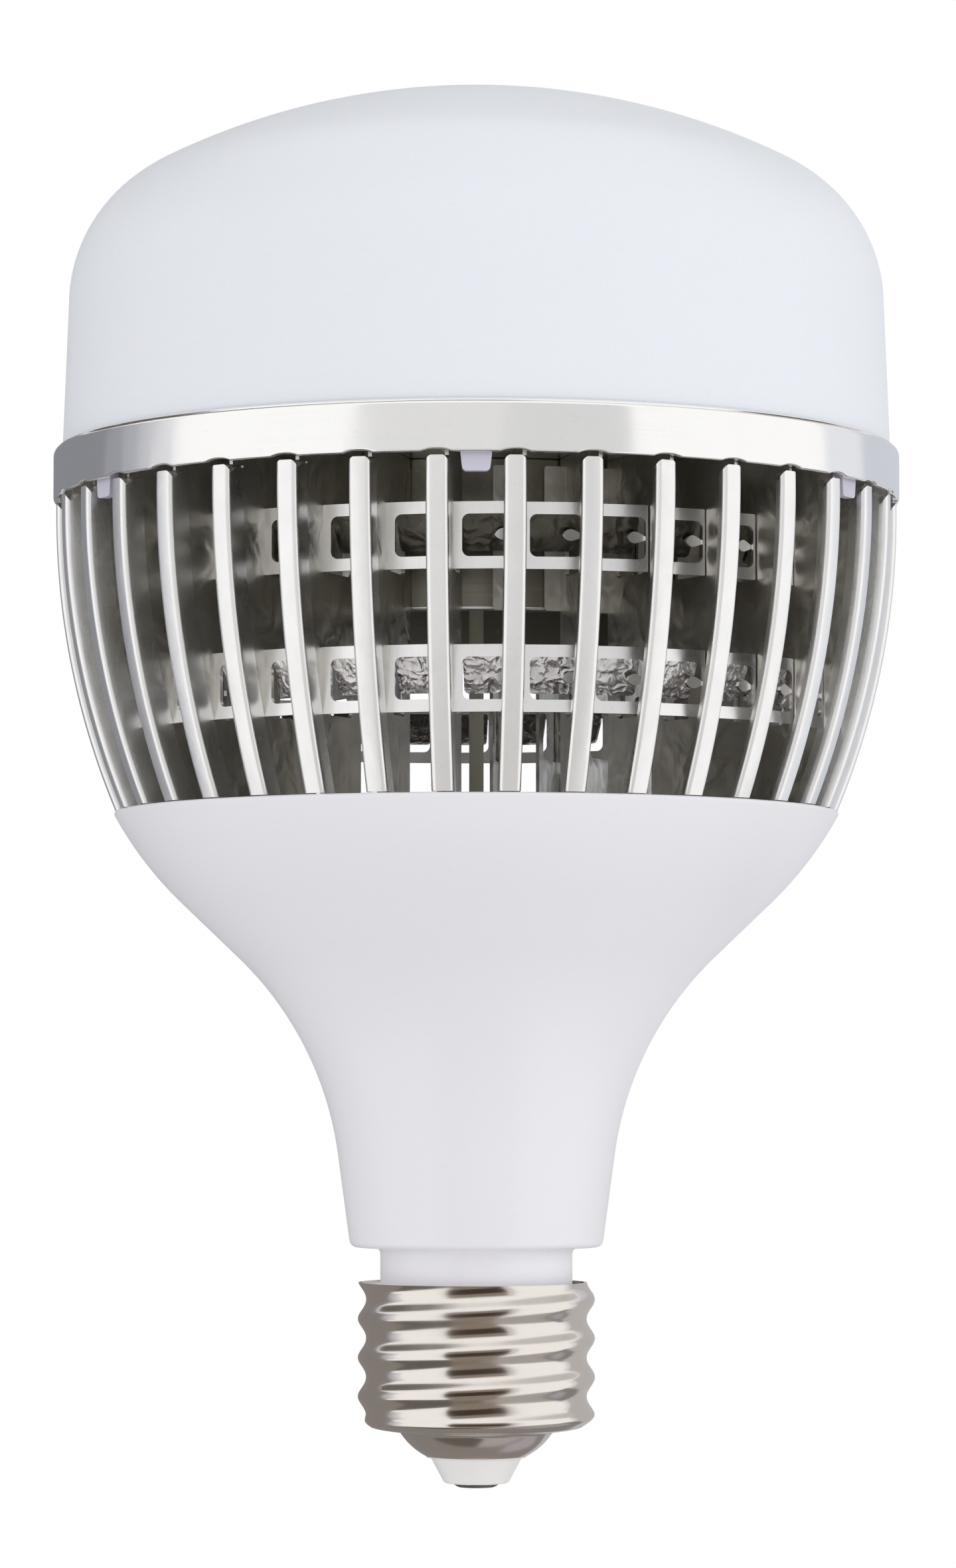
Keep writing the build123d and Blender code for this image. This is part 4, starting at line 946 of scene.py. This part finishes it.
def add_tongue(skin, sizes, places, height):
    """A lock tongue, pointed like a leaf."""
    root = sizes.flange / 2 - sizes.sheet
    side = []
    for share in spread(0, 1, 12):
        swell = sin(pi * share ** BELLY_PLACE) ** BELLY_FILL
        width = sizes.tongue_height * (LEAF_NECK * (1 - share) + LEAF_BELLY * swell)
        side.append((root - sizes.tongue_reach * share, width))
    outline = [(u, height + v * LEAF_UP) for u, v in side]
    outline += [(u, height - v * LEAF_DOWN) for u, v in reversed(side[:-1])]
    skin.plate(outline, [], sizes.sheet, facing(places.frame))


def add_brace(skin, sizes, places):
    """The narrow foot along the inner edge that bears on the tube."""
    side, low = sizes.flange / 2, places.tube_low
    shape = rounded_box(side - sizes.brace, side, low, low + sizes.brace_height, sizes.brace_corner)
    # Material 1 gives the brace the web's painted shade
    skin.plate(shape, [], sizes.sheet, facing(places.inner - sizes.sheet + PLAY), 1)


class BULB_OT_fins(Operator):
    """Fold and set up the stamped fins, each with its window frames and lock tongues"""
    bl_idname = "bulb.fins"
    bl_label = "Fins"

    # Material 1 is the webs' painted shade and material 2 the upper flaps' painted shade; 0 and 3 are
    # the sheet's own colour
    finishes = ("bright_sheet", "rolled_web", "shaded_flap", "crumpled_flap")

    def execute(self, context):
        sizes = look().fin
        places = fin_places(sizes)
        spacing = 2 * places.frame * tan(radians(FIN_PITCH / 2))
        reach = spacing - sizes.sheet - sizes.frame_gap
        plain = Skin()
        add_fold(plain, sizes, places)
        add_web(plain, sizes, places, reach)
        # The upper window's flap takes material 2, its painted shade; the lower one takes material 3
        for number, height in zip((2, 3), places.windows):
            add_frame(plain, sizes, places, height, reach)
            add_flap(plain, sizes, places, height, reach, number)
            add_tongue(plain, sizes, places, height)
        add_brace(plain, sizes, places)
        for index, node in enumerate(FIN_NODES):
            angle = radians(FRONT + FIN_PITCH * (index + 0.5))
            sway = sin(2.4 * index + 0.6)            # another value for each fin
            lean = tan(sizes.crumple * sway)
            skin = Skin()
            skin.points = [about(angle, x + y * lean, z, y) for x, y, z in plain.points]
            skin.faces, skin.numbers = plain.faces, plain.numbers
            piece(f"cooling_{node}", skin, self.finishes, node, sizes.edge)
        return {"FINISHED"}


class BULB_OT_tube(Operator):
    """Build the tube under the pan, coloured dark as painted shade, and the sleeve of the wires on
    the axis
    """
    bl_idname = "bulb.tube"
    bl_label = "Tube and sleeve"

    def execute(self, context):
        sizes = look().tube
        low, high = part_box("core_tube")
        inside, flange_in = high.x - sizes.wall, high.x - sizes.flange
        flange_low = high.z - sizes.wall
        skin = Skin()
        skin.turned(rounded([
            (inside, low.z, sizes.roll), (high.x, low.z, sizes.roll),
            (high.x, high.z, sizes.flange_edge), (flange_in, high.z),
            (flange_in, flange_low, sizes.flange_edge), (inside, flange_low, sizes.bend),
        ]), 180)
        # The rounded lower edge takes material 1, the sheet's own bright colour; the rest of the tube
        # carries painted shade
        cut_top = low.z + sizes.roll * 1.05
        for index, face in enumerate(skin.faces):
            if max(skin.points[corner][2] for corner in face) < cut_top:
                skin.numbers[index] = 1
        piece("dark_tube", skin, ["dark_tube", "cut_edge"], "core_tube")
        low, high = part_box("lead_sleeve")
        bore = high.x - sizes.sleeve_wall
        section = rounded_box(bore, high.x, low.z, high.z, sizes.sleeve_round, 3)
        turned_piece("wire_sleeve", section, 48, "glass_sleeve", "lead_sleeve")
        return {"FINISHED"}


def ogee_wall(sizes, foot, brim_radius, inset, end_angle):
    """The housing's wall from the neck's foot to an angle near the brim, as points."""
    neck, slope, brim = sizes.neck_angle, sizes.slope_angle, sizes.brim_angle
    foot_radius = sizes.neck_top - sizes.neck_length * tan(neck)

    def sweep(start, radius, begin, finish, steps):
        """An arc on from a point, while the wall's lean goes from begin to finish."""
        side = 1 if finish > begin else -1
        return [(start[0] + side * radius * (cos(begin) - cos(lean)),
                 start[1] + side * radius * (sin(lean) - sin(begin)))
                for lean in spread(begin, finish, steps)[1:]]

    shoulder_out = sizes.shoulder * (cos(brim) - cos(slope))
    slope_out, slope_up = sizes.slope_length * sin(slope), sizes.slope_length * cos(slope)
    hollow_out = brim_radius - sizes.neck_top - slope_out - shoulder_out
    hollow = hollow_out / (cos(neck) - cos(slope)) + inset
    points = [
        (radius - inset * cos(neck), height + inset * sin(neck))
        for radius, height in ((foot_radius, foot), (sizes.neck_top, foot + sizes.neck_length))
    ]
    points += sweep(points[-1], hollow, neck, slope, 26)
    points.append((points[-1][0] + slope_out, points[-1][1] + slope_up))
    return points + sweep(points[-1], sizes.shoulder - inset, slope, end_angle, 20)


class BULB_OT_housing(Operator):
    """Build the moulded ogee housing with its screw bosses"""
    bl_idname = "bulb.housing"
    bl_label = "Housing"

    def execute(self, context):
        sizes = look().housing
        low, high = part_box("housing")
        seat, floor = high.z - sizes.recess_depth, low.z + sizes.wall
        outer = ogee_wall(sizes, low.z, high.x, 0, sizes.brim_angle)
        inner = ogee_wall(sizes, low.z, high.x, sizes.wall, sizes.ledge_angle)
        inner = [point for point in inner if point[1] > floor]
        recess = outer[-1][0] - sizes.recess_wall
        neck_inside = sizes.neck_top - sizes.neck_length * tan(sizes.neck_angle) - sizes.wall
        skin = Skin()
        skin.turned(rounded([
            (sizes.bore, low.z), (*outer[0], sizes.foot_round), *outer[1:-1],
            (*outer[-1], sizes.brim_round), (recess, high.z, sizes.recess_round),
            (recess, seat), (inner[-1][0], seat), *inner[::-1],
            (neck_inside, floor), (sizes.bore, floor),
        ]), 240)
        sides = 32
        for index in range(sizes.boss_count):
            centre = about(pi / 2 + 2 * pi * index / sizes.boss_count, sizes.boss_circle, 0)
            ring = arc(centre, sizes.boss, 0, 2 * pi, sides)[:-1]
            heights = (seat - sizes.boss_length, seat - HAIR)
            skin.grid([[(x, y, height) for x, y in ring] for height in heights], round_columns=True)
        piece("ogee_housing", skin, ["glossy_housing"], "housing")
        return {"FINISHED"}


class BULB_OT_collar(Operator):
    """Build the narrow collar with its hollow fillet under the housing"""
    bl_idname = "bulb.collar"
    bl_label = "Collar"

    taper_drop = 0.5 * MM     # from the shell's top down to the taper's upper end

    def execute(self, context):
        sizes, housing = look().cap, look().housing
        low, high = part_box("cap_sleeve")
        neck, floor = bottom("housing"), bottom("housing") + housing.wall
        collar = housing.bore - PLAY
        bore = collar - sizes.collar_wall
        waist, flare, chamfer = sizes.collar_waist, sizes.collar_flare, sizes.spigot_break
        shell_inside = radius_of("cap_shell") - sizes.thread_depth - sizes.sheet
        spigot = shell_inside - sizes.spigot_play
        taper_top = top("cap_shell") - self.taper_drop
        mouth = arc((waist + flare, neck - flare), flare, pi, pi / 2, 8)
        section = [
            (bore, low.z), (spigot - chamfer, low.z), (spigot, low.z + chamfer),
            (spigot, taper_top - sizes.collar_taper), (waist, taper_top),
            *[(radius, height - HAIR) for radius, height in mouth],
            (collar, neck - HAIR), (collar, floor), (high.x, floor + HAIR),
            (high.x, high.z), (bore, high.z),
        ]
        # The collar's finish is painted light: the housing's plastic made lighter against the
        # housing's shade
        turned_piece("cap_collar", section, 192, "collar_plastic", "cap_sleeve")
        return {"FINISHED"}


# The cap: mm in and down from the shell's lower corner, where its floor turns up, and how much
# a second wave sharpens the thread's crests and how far they stand in, in shares of its depth
CORNER_TURN = ((0.9, 0.16), (0.3, 0.03))
CREST_SHARPNESS, CREST_SETBACK = 0.06, 0.04


def thread_radius(sizes, crest, angle, height, corner_height):
    """The rolled thread's radius: a right-hand helix that grows out of the corner."""
    middle = crest - sizes.thread_depth / 2
    phase = 2 * pi * (height - sizes.start) / sizes.pitch - angle
    wave = cos(phase) + CREST_SHARPNESS * cos(2 * phase)
    full = middle + sizes.thread_depth / 2 * wave - CREST_SETBACK * sizes.thread_depth
    share = min(1.0, (height - corner_height) / sizes.run_in)
    base = sizes.corner + (middle - sizes.corner) * (1 - (1 - share) ** 2)
    return base + (full - base) * smooth_step(share)


class BULB_OT_cap(Operator):
    """Roll the threaded shell, and build the insulator and the centre contact in it"""
    bl_idname = "bulb.cap"
    bl_label = "Screw cap"

    wall_steps, segments = 84, 224

    def execute(self, context):
        sizes = look().cap
        self.shell(sizes)
        self.insulator(sizes)
        self.contact(sizes)
        return {"FINISHED"}

    def shell(self, sizes):
        low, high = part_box("cap_shell")
        sheet = sizes.sheet
        corner_height = low.z + sizes.cone_height + sizes.floor_rise
        run = Vector((sizes.cone - sizes.lip, sizes.cone_height))
        lean = Vector((run.y, -run.x)).normalized()
        cone = []
        for share in spread(0, 1, 12):
            bow = sizes.cone_bulge * 4 * share * (1 - share)
            cone.append((sizes.lip + run.x * share + lean.x * bow,
                         low.z + run.y * share + lean.y * bow))
        floor = [(sizes.corner - back * MM, corner_height - down * MM) for back, down in CORNER_TURN]
        heights = spread(corner_height, high.z, self.wall_steps)
        heights[0] += sizes.corner_lift
        rows = []
        for step in range(self.segments):
            angle = 2 * pi * step / self.segments
            wall = [(thread_radius(sizes, high.x, angle, h, corner_height), h) for h in heights]
            inside = [(radius - sheet, h) for radius, h in wall if h > corner_height + sheet]
            inside = [(radius - sheet * 0.3, h + sheet) for radius, h in cone + floor[:1]] + inside
            rows.append([about(angle, r, h) for r, h in cone + floor + wall + inside[::-1]])
        skin = Skin()
        skin.grid(rows, True, True)
        piece("threaded_shell", skin, ["plated_shell"], "cap_shell", sharp=55)

    @staticmethod
    def insulator(sizes):
        low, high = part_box("cap_insulator")
        rim_height = low.z + sizes.insulator_cone
        lip, bore = sizes.lip - HAIR, sizes.insulator_bore
        section = rounded([
            (bore, low.z), (sizes.insulator_tip, low.z + 0.1 * MM, 0.75 * MM),
            (sizes.insulator_rim, rim_height, 0.35 * MM), (lip, rim_height),
            (lip, high.z - 1.2 * MM), (lip + 0.9 * MM, high.z), (bore, high.z),
        ])
        turned_piece("cap_plug", section, 128, "cap_plug", "cap_insulator")

    @staticmethod
    def contact(sizes):
        low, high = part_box("centre_contact")
        outside, stem, bulge = high.x, sizes.stem, sizes.button_bulge
        button_top = low.z + sizes.button
        crown = [(outside * share, low.z + bulge * 1.1 * share ** 2) for share in (0, 0.3, 0.6, 0.8)]
        section = crown + rounded([
            (outside * 0.86, low.z + bulge, 0.15 * MM),
            (outside, low.z + sizes.button * 0.6, 0.25 * MM),
            (outside, button_top, 0.1 * MM), (stem, button_top), (stem, high.z), (0, high.z),
        ])
        turned_piece("contact_button", section, 96, "tinned_contact", "centre_contact")


CARRIED = {
    "core_rivets": "rivet_metal",
    "led_board": "white_mask",
    "led_chips": "phosphor",
    "board_screws": "zinc_screw",
    "seat_screws": "zinc_screw",
    "lead_grommet": "grommet_rubber",
    "seat_plate": "seat_sheet",
    "driver_board": "green_mask",
    "bulk_capacitor": "can_sleeve",
    "transformer_core": "ferrite",
    "filter_choke": "ferrite",
    "transformer_winding": "coil_tape",
    "film_capacitor": "dipped_box",
    "mosfet_heatsink": "sink_sheet",
    "contact_leads": "red_lead",
}


class BULB_OT_inner(Operator):
    """Give the light board, the driver and the other inner parts their finishes"""
    bl_idname = "bulb.inner"
    bl_label = "Inner parts"

    def execute(self, context):
        for node, finish in CARRIED.items():
            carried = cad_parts[node]
            if not carried.material_slots:
                carried.data.materials.append(material_named(finish))
            for held in carried.material_slots:
                held.material = material_named(finish)
        return {"FINISHED"}


# Stage

def white_surround(settings):
    """A white world: plain light on the bulb, and pure white behind and in reflections."""
    world = bpy.data.worlds.new("white_surround")
    wires = emptied(world)
    path = wires.add("ShaderNodeLightPath", {}).node.outputs
    seen = path["Is Camera Ray"]
    for ray in ("Is Glossy Ray", "Is Transmission Ray"):
        seen = wires.math("MAXIMUM", seen, path[ray])
    strength = wires.between(seen, settings.surround, 1.0)
    light = wires.add("ShaderNodeBackground", {"Color": (1, 1, 1, 1), "Strength": strength})
    wires.add("ShaderNodeOutputWorld", {0: light})
    bpy.context.scene.world = world


def soft_lamp(name, settings, azimuth, rise, power):
    """A square lamp, in degrees right of the front, aimed at the bulb's middle."""
    data = bpy.data.lights.new(name, "AREA")
    data.shape, data.size, data.energy = "SQUARE", settings.lamp_size, power
    lamp = placed(name, data)
    middle = Vector((0, 0, top("diffuser") / 2))
    way = Vector(about(radians(FRONT + azimuth), 1, rise))
    lamp.location = middle + way * settings.lamp_distance
    lamp.rotation_euler = (middle - lamp.location).to_track_quat("-Z", "Y").to_euler()
    lamp.visible_camera = False
    lamp.visible_glossy = False


def reflected_card(name, azimuth, elevation, level, distance, middle):
    """A patch of the surround that only metal and gloss show, round a point on the axis.

    The azimuth runs in degrees right of the front, the elevation in degrees up. A limit of
    the elevation is a number, or a function of the azimuth.
    """
    rows = []
    for share in spread(0, 1, 8):
        row = []
        for aside in spread(*azimuth, 24):
            low, high = (limit(aside) if callable(limit) else limit for limit in elevation)
            lift = radians(low + (high - low) * share)
            reach = distance * cos(lift)
            row.append(about(radians(FRONT + aside), reach, middle + distance * sin(lift)))
        rows.append(row)
    skin = Skin()
    skin.grid(rows)
    mesh = skin.mesh(name)
    material = bpy.data.materials.new(name)
    wires = emptied(material)
    glow = wires.add("ShaderNodeEmission", {"Color": (*level, 1), "Strength": 1.0})
    wires.add("ShaderNodeOutputMaterial", {0: glow})
    material.cycles.emission_sampling = "NONE"
    mesh.materials.append(material)
    card = placed(name, mesh)
    for ray in ("camera", "diffuse", "shadow", "transmission", "volume_scatter"):
        setattr(card, f"visible_{ray}", False)
    card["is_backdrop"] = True


def steep(side, share=0.9, power=1.0, least=0.42):
    """An elevation that falls from the front to the back, as one slope of the thread does."""
    return lambda aside: side * degrees(asin(max(share * cos(radians(aside / 2)) ** power, least)))


DARK, SOOT = (0.055, 0.042, 0.032), (0.13, 0.115, 0.1)
BROWN, HAZE = (0.26, 0.22, 0.185), (0.42, 0.4, 0.39)
BAND = (-26, 23)                                     # elevations that upright walls show
THREAD_TOPS = (steep(1), steep(1, 0.97, 0.6, 0.54))  # those that the thread's upper slopes show
FAR_CARDS = {
    "front_grey": ((-31, 8), (-19, 34), (0.75, 0.75, 0.755)),
    "front_dim": ((8, 41), (-19, 34), (0.69, 0.69, 0.7)),
    "front_low": ((-31, 41), (-54, -19.5), (0.62, 0.605, 0.6)),
    "left_back": ((-180, -117), BAND, (0.24, 0.245, 0.27)),
    "left_edge": ((-117, -109), BAND, (0.31, 0.315, 0.35)),
    "left_turn": ((-109, -101), BAND, (0.4, 0.405, 0.45)),
    "left_verge": ((-101, -94), BAND, (0.54, 0.545, 0.59)),
    "left_fade": ((-94, -87), BAND, (0.72, 0.725, 0.76)),
    "right_edge": ((106, 126), BAND, (0.78, 0.8, 0.85)),
    "right_back": ((126, 180), BAND, (0.6, 0.625, 0.69)),
    "left_ceiling": ((-180, 24), THREAD_TOPS, SOOT),
    "right_ceiling": ((24, 180), THREAD_TOPS, (0.6, 0.58, 0.57)),
    "left_sky": ((-180, -110), (33, 52), SOOT),
    "right_sky": ((110, 180), (33, 52), SOOT),
    "front_left_ground": ((-104, 24), (-90, steep(-1)), SOOT),
    "front_right_ground": ((24, 104), (-90, steep(-1)), HAZE),
    "left_ground": ((-180, -104), (-90, -26), (0.25, 0.235, 0.22)),
    "right_ground": ((104, 180), (-90, -26), (0.25, 0.235, 0.22)),
}
PATCHES = {
    "lilac_patch": ((112, 146), (-66, -38), (0.42, 0.385, 0.43)),
}
CAP_CARDS = {
    "cap_shade": ((-28, 29), (-30, 9), DARK),
    "cap_haze": ((-28, 29), (9, 30), BROWN),
    "cap_left": ((-180, -96), BAND, (0.25, 0.23, 0.22)),
    "cap_right": ((104, 180), BAND, (0.52, 0.5, 0.5)),
    "cap_glow": ((-28, 29), (-60, -30), BROWN),
}


class BULB_OT_stage(Operator):
    """Set up the camera, the white surround, the lamps and the cards that metal shows"""
    bl_idname = "bulb.stage"
    bl_label = "Stage"

    def execute(self, context):
        settings = look().stage
        data = bpy.data.cameras.new("camera")
        data.sensor_fit = "AUTO"
        data.sensor_width, data.lens = 36.0, settings.lens / MM
        data.clip_start, data.clip_end = 0.01, 10.0
        camera = placed("camera", data)
        camera.location = (settings.offset, -settings.distance, settings.height)
        camera.rotation_euler = (pi / 2 + settings.pitch, 0, 0)
        context.scene.camera = camera
        white_surround(settings)
        soft_lamp("right_lamp", settings, 62, 0.35, settings.key)
        soft_lamp("left_lamp", settings, -62, 0.35, settings.fill)
        soft_lamp("front_lamp", settings, 4, -0.25, settings.front)
        bulb_middle = top("diffuser") / 2
        cap_middle = (bottom("cap_shell") + top("cap_shell")) / 2
        for cards, distance, middle in (
            (FAR_CARDS, settings.card_distance, bulb_middle),
            (PATCHES, settings.patch_distance, bulb_middle),
            (CAP_CARDS, settings.cap_card_distance, cap_middle),
        ):
            for name, card in cards.items():
                reflected_card(name, *card, distance, middle)
        context.scene.view_settings.view_transform = "Standard"
        return {"FINISHED"}


OPERATORS = [
    BULB_OT_dome, BULB_OT_rim, BULB_OT_fins, BULB_OT_tube, BULB_OT_housing,
    BULB_OT_collar, BULB_OT_cap, BULB_OT_inner, BULB_OT_stage,
]


class BULB_PT_panel(Panel):
    """Sizes, colours and the steps that build the bulb"""
    bl_idname = "BULB_PT_panel"
    bl_label = "LED bulb"
    bl_space_type = "VIEW_3D"
    bl_region_type = "UI"
    bl_category = "Bulb"

    def draw(self, context):
        for group_name, group in GROUPS.items():
            box = self.layout.box()
            box.label(text=group_name.capitalize())
            for label in group.__annotations__:
                box.prop(getattr(context.scene.bulb_look, group_name), label)
        for operator in OPERATORS:
            self.layout.operator(operator.bl_idname)


CLASSES = [*GROUPS.values(), BulbLook, *OPERATORS, BULB_PT_panel]


def register():
    for item in CLASSES:
        bpy.utils.register_class(item)
    bpy.types.Scene.bulb_look = PointerProperty(type=BulbLook)


def unregister():
    del bpy.types.Scene.bulb_look
    for item in reversed(CLASSES):
        bpy.utils.unregister_class(item)


def corners():
    """The shown object's box as plain lists."""
    return [list(corner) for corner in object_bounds()]


def main():
    register()
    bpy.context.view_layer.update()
    for operator in OPERATORS:
        group, action = operator.bl_idname.split(".")
        getattr(getattr(bpy.ops, group), action)()


if __name__ == "__main__":
    main()
